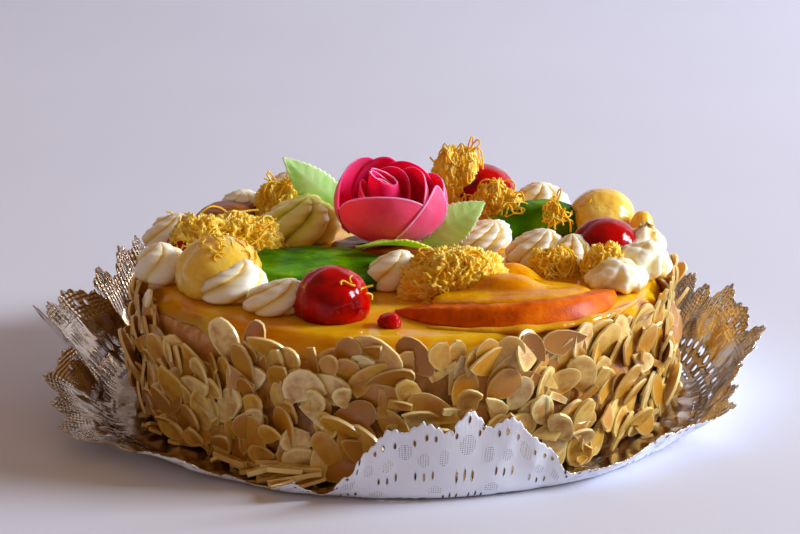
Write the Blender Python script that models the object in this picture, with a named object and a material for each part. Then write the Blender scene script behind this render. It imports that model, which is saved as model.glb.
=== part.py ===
"""A round almond cake in its lace foil doily, topped with candied fruit, cream, egg threads and a wafer rose.

Metres, +Z up. The origin is on the floor under the middle of the cake, and the cake's front is -Y.
The sizes below are in millimetres, and become metres where a mesh is made. Azimuths are in degrees from +X.
"""

import math
import random

import bmesh
import bpy
from mathutils import Matrix, Vector, noise

MM = 0.001
GAP = 0.35  # air between neighbouring solids
SEED = 7

# Cake: a cream coated sponge under a cap of yolk glaze that runs over the rim.
CAKE_RADIUS = 96.0
BELLY = 3.2  # how far the side swells at half its height
CAKE_TOP = 48.0
RIM_ROUNDING = 7.0
CAKE_STEPS = 48
GLAZE_DEPTH = 3.6
GLAZE_TOP = CAKE_TOP + GAP + GLAZE_DEPTH
GLAZE_EDGE = 43.6  # mean height of the edge where the glaze stopped running
GLAZE_RUN = 1.3  # how far the runs reach above and below that edge

# Sliced almonds pressed into the side.
FLAKE_LENGTH = 17.0
FLAKE_WIDTH = 10.5
FLAKE_THICKNESS = 1.3
FLAKE_ROWS = 4
FLAKES_PER_ROW = 20
FLAKE_LOWEST = 8.5
BARE_COAT = (204, 262, 38.0)  # between these azimuths the cream coat shows above this height
# azimuth and height of the flakes that stand out over the rim
TALL_FLAKES = [
    (-24, 40), (-14, 38), (-4, 41), (6, 42), (17, 41), (30, 39), (150, 39), (166, 38), (184, 37), (198, 36),
    (237, 37), (265, 38), (287, 39), (309, 39), (327, 39),
]

# Doily: foil laid on paper, cut as lace, flat under the cake and creased up round it.
FOIL = 0.5
FLAT_RADIUS = 107.5
DOILY_SECTORS = 18
COLUMNS_PER_SECTOR = 6
BEND = 7.0  # length of border over which the sheet turns from flat to its full rise
# azimuth, rise of the border above the floor in degrees, length of the border
BORDER = [
    (4, 45, 42), (12, 58, 48), (20, 59, 38), (31, 50, 46), (44, 58, 42), (62, 52, 44), (80, 61, 41), (98, 52, 44),
    (116, 60, 42), (134, 56, 46), (150, 68, 54), (160, 66, 43), (170, 49, 48), (179, 47, 50), (185, 56, 33),
    (192, 31, 38), (200, 22, 32), (210, 16, 36), (220, 23, 24), (229, 34, 27), (238, 32, 11), (246, 28, 8),
    (251, 42, 15), (255, 34, 7), (260, 62, 13), (264, 74, 29), (270, 78, 36), (280, 80, 36), (288, 79, 36),
    (294, 74, 22), (299, 50, 11), (304, 38, 18), (312, 44, 20), (325, 41, 21), (333, 34, 31), (341, 46, 27),
    (350, 50, 33), (356, 43, 41),
]

# Toppings. Every height is measured from the top of the glaze.
# name: x, y, radius, height, twist in degrees, lean towards x, lean towards y
CREAMS = {
    "cream_left_low": (-88, -22, 9.8, 15, 70, -1, -2),
    "cream_left_high": (-88, 18, 12.0, 15, 80, 2, 1),
    "cream_front_a": (-62, -45, 12.0, 14, 110, 4, 2),
    "cream_front_b": (-46, -60, 11.0, 13, 60, 6, -1),
    "cream_behind_slice": (-42, 33, 16.0, 18, 120, 3, 0),
    "cream_centre": (-5, -30, 9.5, 14, 80, 1, 0),
    "cream_middle_a": (28, 23, 12.5, 11, 50, 3, 0),
    "cream_middle_b": (49, 3, 11.0, 13, 60, 1, 0),
    "cream_middle_c": (65, -2, 9.5, 12, 60, 0, 0),
    "cream_back_left_a": (-65, 63, 11.0, 13, 80, 0, 0),
    "cream_back_left_b": (-47, 76, 10.5, 18, 80, 0, 0),
    "cream_back_middle": (-14, 84, 10.5, 14, 80, 0, 0),
    "cream_back_right": (56, 72, 11.5, 14, 70, 0, 0),
}
CREAM_RIDGES = 7
RIDGE_DEPTH = 0.13
# The large crumpled dollop at the right rim: x, y, radius, height, twist
DOLLOP = [(77, -31, 11, 11, 40), (87, -14, 11, 15, 90), (89, 5, 9, 17, 60)]

# name: x, y, radius, height of the dome, how far the widest girth is above the glaze, finish
ROUND_FRUITS = {
    "cherry_front": (-25, -66, 13.2, 18.0, 5.0, "glace cherry"),
    "cherry_bit": (-5, -79, 4.2, 5.0, 1.5, "glace cherry"),
    "cherry_right": (76, 4, 13.0, 16.5, 5.0, "glace cherry"),
    "cherry_back": (32, 78, 13.5, 20.0, 8.0, "glace cherry"),
    "cherry_left": (-79, -2, 11.0, 15.0, 5.0, "glace cherry"),
    "ball_left": (-67, -35, 15.8, 20.0, 6.0, "candied apricot"),
    "ball_right": (78, 44, 13.4, 18.0, 6.0, "candied apricot"),
}
CENTRE_SLICE_TOP = 5.0

# name: x, y of the curve's centre, outer radius, width, first and last azimuth, thickness, base height, finish
CRESCENTS = {
    "slice_front": (29, -27, 58, 20, 228, 345, 8.0, 0, "candied papaya"),
    "slice_back_left": (-30, 20, 62, 18, 108, 170, 10.0, 0, "candied papaya"),
    "green_slice_back": (60, 4, 48, 19, 66, 142, 15.0, 0, "candied green pear"),
}

# name: x, y, half length, half width, height of the core, height of its base, number of strands
THREAD_HEAPS = {
    "threads_left": (-58, 3, 18, 12, 17, 0, 2),
    "threads_left_cherry": (-78, 1, 12, 10, 18, 0, 1),
    "threads_back_left": (-49, 58, 13, 9, 18, 0, 2),
    "threads_back": (17, 75, 9, 8, 29, 0, 3),
    "threads_cherry_back": (36, 62, 11, 7, 14, 0, 1),
    "threads_centre": (14, -42, 22, 14, 18, 0, 3),
    "threads_middle": (49, -23, 14, 11, 9, 0, 1),
    "threads_right": (69, -18, 10, 8, 15, 0, 1),
}
THREAD_RADIUS = 0.9

ROSE_PLACE = (-5, 13, CENTRE_SLICE_TOP)
ROSE_RADIUS = 20.5
ROSE_HEIGHT = 26.0
WAFER = 0.8
# azimuth, size, half spread in degrees, lean outwards of the petal's lip, height
PETALS = [
    (200, 1.00, 66, 0.02, 0.98), (80, 0.97, 64, 0.02, 1.00), (334, 0.99, 60, 0.08, 0.86),
    (264, 0.94, 60, 0.06, 0.66), (20, 0.72, 60, 0.0, 1.02), (136, 0.68, 62, 0.0, 1.02),
    (290, 0.46, 74, -0.1, 0.86),
]
# name: base x, y, z, tip x, y, z, half width, roll of the blade in degrees
LEAVES = {
    "leaf_back": (-23, 21, 7.5, -47, 29, 34, 8.5, 80),
    "leaf_right": (16, 9, 7.0, 37, 13, 19, 9.5, 68),
    "leaf_front": (10, -9, 7.0, -18, -12, 9.0, 6.5, 8),
}

FINISHES = {  # sRGB colour, roughness, metallic
    "almond": ("#CFA869", 0.55, 0.0),
    "yolk glaze": ("#D98C12", 0.15, 0.0),
    "silver foil": ("#B9B4AE", 0.3, 1.0),
    "whipped cream": ("#F1E9D8", 0.5, 0.0),
    "glace cherry": ("#A80D10", 0.1, 0.0),
    "candied apricot": ("#E0B040", 0.25, 0.0),
    "candied papaya": ("#B8440E", 0.2, 0.0),
    "candied green pear": ("#2C5A08", 0.15, 0.0),
    "egg thread": ("#E5A90E", 0.35, 0.0),
    "pink wafer": ("#D9245F", 0.6, 0.0),
    "green wafer": ("#9BCB6A", 0.65, 0.0),
}


def linear(channel):
    return channel / 12.92 if channel <= 0.04045 else ((channel + 0.055) / 1.055) ** 2.4


def finish(name):
    """The material of that name, made once."""
    if name in bpy.data.materials:
        return bpy.data.materials[name]
    colour, roughness, metallic = FINISHES[name]
    made = bpy.data.materials.new(name)
    made.use_nodes = True
    shader = made.node_tree.nodes["Principled BSDF"]
    channels = [linear(int(colour[i : i + 2], 16) / 255) for i in (1, 3, 5)]
    shader.inputs["Base Color"].default_value = (*channels, 1)
    shader.inputs["Roughness"].default_value = roughness
    shader.inputs["Metallic"].default_value = metallic
    return made


def polar(radius, azimuth, height=0.0):
    """A point in millimetres, from its distance to the axis and its azimuth in degrees."""
    turn = math.radians(azimuth)
    return Vector((radius * math.cos(turn), radius * math.sin(turn), height))


def skin(rings):
    """A closed mesh through successive rings of points, capped at both ends. A ring of one point is a pole."""
    mesh = bmesh.new()
    loops = [[mesh.verts.new(Vector(point) * MM) for point in ring] for ring in rings]
    for low, high in zip(loops, loops[1:]):
        count = max(len(low), len(high))
        for i in range(count):
            j = (i + 1) % count
            corners = [low[i % len(low)], low[j % len(low)], high[j % len(high)], high[i % len(high)]]
            mesh.faces.new(list(dict.fromkeys(corners)))
    for loop in (loops[0], loops[-1]):
        if len(loop) > 2:
            mesh.faces.new(loop)
    bmesh.ops.recalc_face_normals(mesh, faces=mesh.faces)
    return mesh


def sheet(rows, wraps=False):
    """An open sheet of triangles through rows of points. Solidify gives it two faces that are split alike."""
    mesh = bmesh.new()
    lines = [[mesh.verts.new(Vector(point) * MM) for point in row] for row in rows]
    for low, high in zip(lines, lines[1:]):
        count = max(len(low), len(high))
        for i in range(count if wraps else count - 1):
            j = (i + 1) % count
            a, b = low[i % len(low)], low[j % len(low)]
            c, d = high[j % len(high)], high[i % len(high)]
            if a is not b:
                mesh.faces.new((a, b, c))
            mesh.faces.new((a, c, d))
    return mesh


def piece(name, mesh, finish_name, place=(0, 0, 0), spin=0.0):
    """A named object made from a bmesh, standing at a place in millimetres."""
    data = bpy.data.meshes.new(name)
    mesh.to_mesh(data)
    mesh.free()
    data.materials.append(finish(finish_name))
    data.shade_smooth()
    data.set_sharp_from_angle(angle=math.radians(50))
    made = bpy.data.objects.new(name, data)
    bpy.context.scene.collection.objects.link(made)
    made.location = Vector(place) * MM
    made.rotation_euler.z = math.radians(spin)
    return made


def on_top(made):
    """Stands a piece on the glaze: its own heights count from there."""
    made.parent = bpy.data.objects["cake_top"]
    return made


def solidify(made, thickness):
    modifier = made.modifiers.new("thickness", "SOLIDIFY")
    modifier.thickness = thickness * MM
    modifier.offset = 0
    return made


def settle(made):
    """Applies the modifiers of a piece."""
    bpy.context.view_layer.update()
    graph = bpy.context.evaluated_depsgraph_get()
    baked = bpy.data.meshes.new_from_object(made.evaluated_get(graph))
    made.modifiers.clear()
    made.data = baked


def keep_largest_body(made):
    """Drops the loose scraps that a Boolean leaves."""
    mesh = bmesh.new()
    mesh.from_mesh(made.data)
    left = set(mesh.verts)
    bodies = []
    while left:
        body, edge = set(), [left.pop()]
        while edge:
            vertex = edge.pop()
            body.add(vertex)
            near = {link.other_vert(vertex) for link in vertex.link_edges} & left
            left -= near
            edge.extend(near)
        bodies.append(body)
    biggest = max(bodies, key=len)
    bmesh.ops.delete(mesh, geom=[v for body in bodies if body is not biggest for v in body], context="VERTS")
    mesh.to_mesh(made.data)
    mesh.free()


def fuse(made, others):
    """Joins closed pieces into one, by one Boolean union on a collection."""
    group = bpy.data.collections.new(made.name + "_parts")
    bpy.context.scene.collection.children.link(group)
    for other in others:
        bpy.context.scene.collection.objects.unlink(other)
        group.objects.link(other)
    union = made.modifiers.new("union", "BOOLEAN")
    union.operation = "UNION"
    union.operand_type = "COLLECTION"
    union.collection = group
    union.solver = "MANIFOLD"
    settle(made)
    keep_largest_body(made)
    for other in others:
        bpy.data.objects.remove(other)
    bpy.data.collections.remove(group)
    return made


def world_box(made):
    points = [made.matrix_world @ vertex.co for vertex in made.data.vertices]
    return [(min(p[axis] for p in points), max(p[axis] for p in points)) for axis in range(3)]


def near(a, b):
    """Whether the boxes of two pieces come within the gap of each other."""
    reach = GAP * MM
    return all(p[0] < q[1] + reach and q[0] < p[1] + reach for p, q in zip(world_box(a), world_box(b)))


def swollen_copy(made, convex):
    """A cutter that stands the gap proud of a piece: of its own shape, or of the hull of its points."""
    mesh = bmesh.new()
    if convex:
        for vertex in made.data.vertices:
            mesh.verts.new(made.matrix_world @ vertex.co)
        bmesh.ops.convex_hull(mesh, input=mesh.verts)
        bmesh.ops.delete(mesh, geom=[vertex for vertex in mesh.verts if not vertex.link_faces], context="VERTS")
    else:
        mesh.from_mesh(made.data)
        mesh.transform(made.matrix_world)
    bmesh.ops.recalc_face_normals(mesh, faces=mesh.faces)
    mesh.normal_update()
    moves = [(vertex, vertex.normal * GAP * 1.3 * MM) for vertex in mesh.verts]
    for vertex, move in moves:
        vertex.co += move
    data = bpy.data.meshes.new(made.name + "_cutter")
    mesh.to_mesh(data)
    mesh.free()
    cutter = bpy.data.objects.new(made.name + "_cutter", data)
    cutter.hide_render = True
    cutter.display_type = "WIRE"
    bpy.context.scene.collection.objects.link(cutter)
    return cutter


def nestle(pieces, hollow_shapes):
    """Cuts every piece back from those before it, so that neighbours touch without overlapping."""
    bpy.context.view_layer.update()
    for i, made in enumerate(pieces):
        cutters = [swollen_copy(other, other.name not in hollow_shapes) for other in pieces[:i] if near(made, other)]
        for cutter in cutters:
            cut = made.modifiers.new("cut", "BOOLEAN")
            cut.operation = "DIFFERENCE"
            cut.object = cutter
            cut.solver = "MANIFOLD"
        if cutters:
            settle(made)
            keep_largest_body(made)
            bpy.context.view_layer.update()
        for cutter in cutters:
            bpy.data.objects.remove(cutter)


def around(azimuth, column):
    """A value of the border table at an azimuth, eased between its rows."""
    azimuth %= 360
    rows = [*BORDER, (BORDER[0][0] + 360, *BORDER[0][1:])]
    for first, last in zip(rows, rows[1:]):
        if first[0] <= azimuth <= last[0]:
            share = (azimuth - first[0]) / (last[0] - first[0])
            share = share * share * (3 - 2 * share)
            return first[column] + (last[column] - first[column]) * share
    return rows[0][column]


def lace_edge(azimuth):
    """How far the cut edge reaches, from 0 to 1: a tall point between two shoulders in each sector."""
    across = abs((azimuth * DOILY_SECTORS / 360 + 0.5) % 1 - 0.5) * 2
    point = max(0.0, 1 - across / 0.3)
    shoulder = max(0.0, 1 - abs(across - 0.7) / 0.3)
    return 0.76 + 0.24 * max(point, 0.55 * shoulder)


def doily_point(azimuth, out):
    """The doily's middle surface. out runs from 0 at the edge of the flat to 1 at the lace's longest points."""
    rise, length = around(azimuth, 1), around(azimuth, 2)
    along = out * length
    turned = min(1.0, along / BEND)
    rise_here = math.radians(rise * (0.5 * turned if turned < 1 else 1 - 0.5 * BEND / max(along, BEND)))
    crease = noise.noise(Vector((*polar(2.6, azimuth).xy, along * 0.03)))
    radius = FLAT_RADIUS + along * math.cos(rise_here) + crease * 3.0 * out
    height = FOIL / 2 + along * math.sin(rise_here) + abs(crease) * 2.0 * out
    return polar(radius, azimuth + crease * 2.0 * out, height)


def doily():
    columns = DOILY_SECTORS * COLUMNS_PER_SECTOR
    azimuths = [360 * i / columns for i in range(columns)]
    rows = [[(0, 0, FOIL / 2)], [polar(FLAT_RADIUS, azimuth, FOIL / 2) for azimuth in azimuths]]
    for out in (0.2, 1.0):
        rows.append([doily_point(azimuth, out * (lace_edge(azimuth) if out == 1 else 0.88)) for azimuth in azimuths])
    return solidify(piece("doily", sheet(rows, wraps=True), "silver foil"), FOIL)


def side_radius(height):
    """Radius of the cream coated side, which bellies out a little and rounds over at the rim."""
    belly = CAKE_RADIUS + BELLY * math.sin(math.pi * height / CAKE_TOP)
    over = max(0.0, height - (CAKE_TOP - RIM_ROUNDING))
    return belly - RIM_ROUNDING + math.sqrt(max(0.0, RIM_ROUNDING**2 - over**2))


def ring(radius, height, steps=CAKE_STEPS):
    return [polar(radius, 360 * i / steps, height) for i in range(steps)]


def glaze_edge(azimuth):
    """Height of the glaze's lower edge, which ran down further in some places."""
    turn = math.radians(azimuth)
    return GLAZE_EDGE + GLAZE_RUN * (0.6 * math.sin(5 * turn + 1) + 0.4 * math.sin(9 * turn))


def glaze():
    """A cap over the cake. Each ring is level but for those of the edge."""
    over = GAP + 1.9

    def side(height_of, proud):
        azimuths = [360 * i / CAKE_STEPS for i in range(CAKE_STEPS)]
        return [polar(side_radius(height_of(a)) + proud, a, height_of(a)) for a in azimuths]

    shoulder = CAKE_TOP - RIM_ROUNDING * 0.35
    rings = [
        [(0, 0, CAKE_TOP + GAP)],
        ring(CAKE_RADIUS - RIM_ROUNDING + 0.6, CAKE_TOP + GAP),
        ring(side_radius(shoulder) + GAP + 0.4, shoulder + GAP),
        side(glaze_edge, GAP + 0.2),
        side(lambda azimuth: glaze_edge(azimuth) + 1.6, over),
        ring(side_radius(shoulder) + over, shoulder + over * 0.6),
        ring(CAKE_RADIUS - RIM_ROUNDING + 1.0, GLAZE_TOP - 0.4),
        ring(CAKE_RADIUS - RIM_ROUNDING - 6, GLAZE_TOP),
        [(0, 0, GLAZE_TOP)],
    ]
    return piece("yolk_glaze", skin(rings), "yolk glaze")


def flake(length, width):
    """A slice of almond, broad at one end and pointed at the other."""
    outline = [(-0.46, 0.2), (-0.5, -0.14), (-0.04, -0.5), (0.36, -0.26), (0.5, 0.06), (0.04, 0.5)]
    faces = [[(x * length, y * width, z * FLAKE_THICKNESS / 2) for x, y in outline] for z in (-1, 1)]
    return skin(faces)


def pressed_on(azimuth, height, spin, lean, out):
    """The matrix that presses a flake on the side: its length up the side, turned by spin and leaning out."""
    stand = Matrix.Rotation(math.radians(azimuth), 4, "Z") @ Matrix.Translation(
        Vector((side_radius(height) + out, 0, height)) * MM
    )
    upright = Matrix.Rotation(math.radians(90), 4, "Y")
    return stand @ Matrix.Rotation(math.radians(lean), 4, "Y") @ Matrix.Rotation(math.radians(spin), 4, "X") @ upright


def flake_places():
    """Rows of flakes round the side, offset row by row, then the tall ones that stand out over the rim."""
    draw = random.Random(SEED)
    for row in range(FLAKE_ROWS):
        for i in range(FLAKES_PER_ROW):
            azimuth = 360 * (i + 0.5 * (row % 2) + draw.uniform(-0.3, 0.3)) / FLAKES_PER_ROW
            bare = BARE_COAT[0] < azimuth % 360 < BARE_COAT[1]
            highest = BARE_COAT[2] if bare else glaze_edge(azimuth) - 1
            length = FLAKE_LENGTH * draw.uniform(0.72, 1.1)
            spin = draw.uniform(-90, 90)
            upright = abs(math.cos(math.radians(spin)))
            reach = length / 2 * upright + FLAKE_WIDTH / 2 * (1 - upright)
            spot = FLAKE_LOWEST + (highest - FLAKE_LOWEST - 5) * row / (FLAKE_ROWS - 1)
            spot = min(max(spot, reach + 2), highest - reach)
            lean = draw.uniform(3, 22) * draw.choice((1, 1, 1, -1))
            yield azimuth, spot, spin, lean, length, max(0.2, reach * abs(math.sin(math.radians(lean))) - 0.5)
    for azimuth, height in TALL_FLAKES:
        yield azimuth, height, draw.uniform(-24, 24), 17, FLAKE_LENGTH * draw.uniform(1.0, 1.15), 3.2


def cake():
    profile = [0.9, 4, CAKE_TOP * 0.3, CAKE_TOP * 0.6, CAKE_TOP - RIM_ROUNDING, CAKE_TOP - RIM_ROUNDING * 0.35]
    rings = [ring(side_radius(height), height) for height in profile]
    rings.append(ring(CAKE_RADIUS - RIM_ROUNDING, CAKE_TOP))
    body = piece("almond_cake", skin(rings), "almond")
    flakes = []
    for azimuth, height, spin, lean, length, out in flake_places():
        made = piece("flake", flake(length, FLAKE_WIDTH), "almond")
        made.matrix_world = pressed_on(azimuth, height, spin, lean, out)
        flakes.append(made)
    return fuse(body, flakes)


def swirl(radius, height, twist, lean_x, lean_y, ridges=CREAM_RIDGES):
    """Cream from a star nozzle: ridges that twist as they draw in to a peak."""
    profile = [(0.0, 0.9), (0.2, 1.0), (0.48, 0.84), (0.74, 0.5), (0.9, 0.22)]
    rings = []
    for up, share in profile:
        row = []
        for i in range(ridges * 2):
            spread = radius * share * (1 + RIDGE_DEPTH * (1 if i % 2 else -1))
            point = polar(spread, 180 * i / ridges + twist * up, height * up)
            row.append(point + Vector((lean_x, lean_y, 0)) * up * up)
        rings.append(row)
    rings.append([(lean_x, lean_y, height)])
    return skin(rings)


def dollop():
    """The crumpled cream at the right rim: swirls run together."""
    parts = []
    for x, y, radius, height, twist in DOLLOP:
        parts.append(piece("cream_dollop", swirl(radius, height, twist, 1, 0), "whipped cream", (x, y, GAP)))
    first, *others = [on_top(part) for part in parts]
    bpy.context.view_layer.update()
    return fuse(first, others)


def dome(radius, height, girth, steps=12, levels=6):
    """A round fruit with its foot cut level: widest at girth, and closed by a rounded top."""
    rings = []
    foot = -math.asin(min(0.9, girth / (height - girth)))
    for level in range(levels):
        turn = foot + (math.pi / 2 - foot) * level / levels
        rings.append(ring(radius * math.cos(turn), girth + (height - girth) * math.sin(turn), steps))
    rings.append([(0, 0, height)])
    return skin(rings)


def crescent(outer, width, first, last, thickness, steps=12):
    """A curved slice with rounded edges that narrows to both its tips, about the centre of its curve."""
    section = [(-1, 0.12), (-0.86, 0), (0.86, 0), (1, 0.12), (1, 0.75), (0.7, 1), (-0.7, 1), (-1, 0.75)]
    rings = []
    for i in range(steps + 1):
        share = i / steps
        fullness = max(0.16, math.sin(math.pi * share) ** 0.55)
        azimuth = first + (last - first) * share
        middle = outer - width / 2
        rings.append(
            [
                polar(middle + x * width / 2 * fullness, azimuth, z * thickness * (0.55 + 0.45 * fullness))
                for x, z in section
            ]
        )
    return skin(rings)


def slab(half_length, half_width, thickness, steps=18):
    """A flat candied slice with an uneven outline and a slightly domed top."""
    rings = []
    for share, height in ((0.96, 0.0), (1.0, 0.45), (0.9, 0.86)):
        row = []
        for i in range(steps):
            turn = 2 * math.pi * i / steps
            uneven = share * (1 + 0.05 * math.sin(3 * turn + 1) + 0.03 * math.sin(5 * turn))
            row.append(
                (half_length * uneven * math.cos(turn), half_width * uneven * math.sin(turn), thickness * height)
            )
        rings.append(row)
    rings.append([(0, 0, thickness)])
    return skin(rings)


def strand(points, radius=THREAD_RADIUS, sides=4):
    """A tube through points, its sides carried along without a twist."""
    rings = []
    side = (points[1] - points[0]).orthogonal()
    turns = [2 * math.pi * k / sides for k in range(sides)]
    for i, point in enumerate(points):
        ahead = (points[min(i + 1, len(points) - 1)] - points[max(i - 1, 0)]).normalized()
        side = (side - ahead * side.dot(ahead)).normalized()
        other = ahead.cross(side)
        rings.append([point + (side * math.cos(t) + other * math.sin(t)) * radius for t in turns])
    return skin(rings)


def lump(azimuth, rise, half_length, half_width, height, seed):
    """A point of a lumpy dome, from its azimuth and its rise above the foot in degrees."""
    spot = polar(math.cos(math.radians(rise)), azimuth, math.sin(math.radians(rise)))
    swell = 1 + 0.2 * noise.noise(spot * 1.9 + Vector((seed, 0, 0)))
    return Vector((spot.x * half_length, spot.y * half_width, spot.z * height)) * swell


def thread_heap(name, x, y, half_length, half_width, height, base, strands):
    """A heap of egg threads: a lumpy core, and the strands that stand out of it."""
    draw = random.Random(f"{SEED} {name}")
    size = (half_length, half_width, height)
    rings = []
    for rise in (0, 30, 60):
        rings.append([lump(360 * i / 12, rise, *size, x) for i in range(12)])
        for point in rings[-1]:
            point.z = max(point.z, 0) if rise else 0
    rings.append([lump(0, 90, *size, x)])
    place = (x, y, base + GAP)
    heap = piece(name, skin(rings), "egg thread", place)
    loops = []
    for _ in range(strands):
        first = draw.uniform(0, 360)
        turn = draw.uniform(80, 130)
        low = draw.uniform(14, 34)
        points = []
        for k in range(7):
            arch = math.sin(math.pi * k / 6)
            points.append(lump(first + turn * k / 6, low + 34 * arch, *size, x) * (0.93 + 0.16 * arch))
        loops.append(piece("strand", strand(points, sides=3), "egg thread", place))
    on_top(heap)
    for loop in loops:
        on_top(loop)
    bpy.context.view_layer.update()
    return fuse(heap, loops)


def petal(azimuth, size, spread, lip, tallness):
    """One wafer petal: cupped round the rose's axis, with a rounded lip that opens outwards."""
    rows = []
    for up in (0.0, 0.35, 0.7, 1.0):
        row = []
        for across in (-1, -0.6, -0.2, 0.2, 0.6, 1):
            arch = 1 - 0.34 * abs(across) ** 2.6 * up
            height = ROSE_HEIGHT * tallness * up * arch
            cup = ROSE_RADIUS * size * (0.24 + 0.76 * math.sin(min(1.0, up * 1.25) * math.pi / 2))
            radius = cup * (1 + lip * max(0.0, up - 0.6))
            row.append(polar(radius, azimuth + across * spread * (0.45 + 0.55 * up), height))
        rows.append(row)
    return solidify(piece("petal", sheet(rows), "pink wafer"), WAFER)


def rose():
    """Petals round a rolled bud, all stuck in one cup."""
    levels = [(0, 0.22), (5, 0.34), (13, 0.3), (21, 0.24), (25, 0.14)]
    bud = [ring(ROSE_RADIUS * share, height, 10) for height, share in levels]
    made = piece("rose", skin(bud), "pink wafer")
    petals = [petal(*row) for row in PETALS]
    for one in petals:
        settle(one)
    fuse(made, petals)
    on_top(made)
    made.location = (Vector(ROSE_PLACE) + Vector((0, 0, 2 * GAP))) * MM
    made.rotation_euler.x = math.radians(14)
    made.location.z += 1.6 * MM
    return made


def leaf(name, base_x, base_y, base_z, tip_x, tip_y, tip_z, half_width, roll):
    """A wafer leaf with a toothed edge, folded along its middle."""
    base, tip = Vector((base_x, base_y, base_z)), Vector((tip_x, tip_y, tip_z))
    ahead = tip - base
    side = ahead.cross(Vector((0, 0, 1))).normalized()
    side = Matrix.Rotation(math.radians(roll), 3, ahead) @ side
    up = side.cross(ahead).normalized()
    rows = []
    steps = 9
    for i in range(steps + 1):
        along = i / steps
        width = half_width * max(0.06, math.sin(math.pi * along**0.8)) * (1 if i % 2 else 0.9)
        bow = math.sin(math.pi * along) * ahead.length * 0.06
        line = base + ahead * along + up * bow
        fold = width * 0.25
        rows.append([line - side * width + up * fold, line, line + side * width + up * fold])
    return on_top(solidify(piece(name, sheet(rows), "green wafer"), WAFER))


def drop():
    """A drop of candied apricot on the right rim, taller than it is wide."""
    return on_top(piece("apricot_drop", dome(4.6, 12.0, 5.5, 8, 5), "candied apricot", (93, 33, GAP)))


def toppings():
    """Every piece on the glaze, those that keep their whole shape first."""
    made = {}
    for name, (x, y, radius, height, girth, look) in ROUND_FRUITS.items():
        steps, levels = (12, 6) if radius > 6 else (8, 4)
        made[name] = on_top(piece(name, dome(radius, height, girth, steps, levels), look, (x, y, GAP)))
    for name, (x, y, outer, width, first, last, thickness, base, look) in CRESCENTS.items():
        shape = crescent(outer, width, first, last, thickness)
        made[name] = on_top(piece(name, shape, look, (x, y, base + GAP)))
    made["slice_centre"] = on_top(
        piece("slice_centre", slab(26, 20, CENTRE_SLICE_TOP), "candied papaya", (-2, 12, GAP), 12)
    )
    made["green_slice_left"] = on_top(
        piece("green_slice_left", slab(30, 23, 7), "candied green pear", (-30, -20, GAP), -20)
    )
    made["rose"] = rose()
    for name, row in LEAVES.items():
        made[name] = leaf(name, *row)
        settle(made[name])
    for name, (x, y, radius, height, *shape) in CREAMS.items():
        made[name] = on_top(piece(name, swirl(radius, height, *shape), "whipped cream", (x, y, GAP)))
    made["cream_dollop"] = dollop()
    made["apricot_drop"] = drop()
    for name, row in THREAD_HEAPS.items():
        made[name] = thread_heap(name, *row)
    nestle(list(made.values()), hollow_shapes={*CRESCENTS, "rose", *LEAVES})


def main():
    for old in list(bpy.data.objects):
        bpy.data.objects.remove(old)
    top = bpy.data.objects.new("cake_top", None)
    top.location.z = GLAZE_TOP * MM
    bpy.context.scene.collection.objects.link(top)
    doily()
    nestle([glaze(), cake()], hollow_shapes={"yolk_glaze"})
    toppings()


main()
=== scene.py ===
"""The dressed fruit topped cake, from its glaze and almonds to the wafer rose and the lace doily.

Lengths are in millimetres and azimuths in degrees from +X, and a mesh's points become metres when it is made.
The sizes repeat those of the solids, so each piece lies where its solid does.
"""

import math
import random

import bmesh
import bpy
from mathutils import Euler, Matrix, Vector, noise


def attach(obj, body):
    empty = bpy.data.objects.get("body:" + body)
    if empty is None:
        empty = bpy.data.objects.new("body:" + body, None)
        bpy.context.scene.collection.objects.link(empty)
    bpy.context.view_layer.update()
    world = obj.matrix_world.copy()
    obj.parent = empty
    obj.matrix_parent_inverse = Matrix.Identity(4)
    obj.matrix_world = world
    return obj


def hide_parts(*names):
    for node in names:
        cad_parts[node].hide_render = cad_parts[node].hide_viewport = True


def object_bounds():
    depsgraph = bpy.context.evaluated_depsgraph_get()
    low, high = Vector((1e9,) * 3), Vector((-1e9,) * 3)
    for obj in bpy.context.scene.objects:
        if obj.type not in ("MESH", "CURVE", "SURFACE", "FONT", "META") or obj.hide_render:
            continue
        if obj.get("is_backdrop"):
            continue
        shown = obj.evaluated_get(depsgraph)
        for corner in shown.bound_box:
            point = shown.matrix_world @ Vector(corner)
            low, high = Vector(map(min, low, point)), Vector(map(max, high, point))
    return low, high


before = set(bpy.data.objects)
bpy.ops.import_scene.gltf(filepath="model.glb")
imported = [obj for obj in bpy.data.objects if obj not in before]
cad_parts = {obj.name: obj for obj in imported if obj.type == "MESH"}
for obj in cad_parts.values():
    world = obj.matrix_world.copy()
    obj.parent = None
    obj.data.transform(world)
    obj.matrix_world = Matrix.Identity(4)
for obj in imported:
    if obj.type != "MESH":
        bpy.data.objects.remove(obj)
solid_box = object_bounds()

MM = 0.001
SEED = 7

# The cake, as the solids have it.
CAKE_RADIUS = 96.0
BELLY = 3.2
CAKE_TOP = 48.0
RIM_ROUNDING = 7.0
GLAZE_TOP = 51.95
GLAZE_EDGE = 43.6
GLAZE_RUN = 1.3
BARE_COAT = (206, 236, 40.5)  # between these azimuths the cream coat shows above this height

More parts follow.
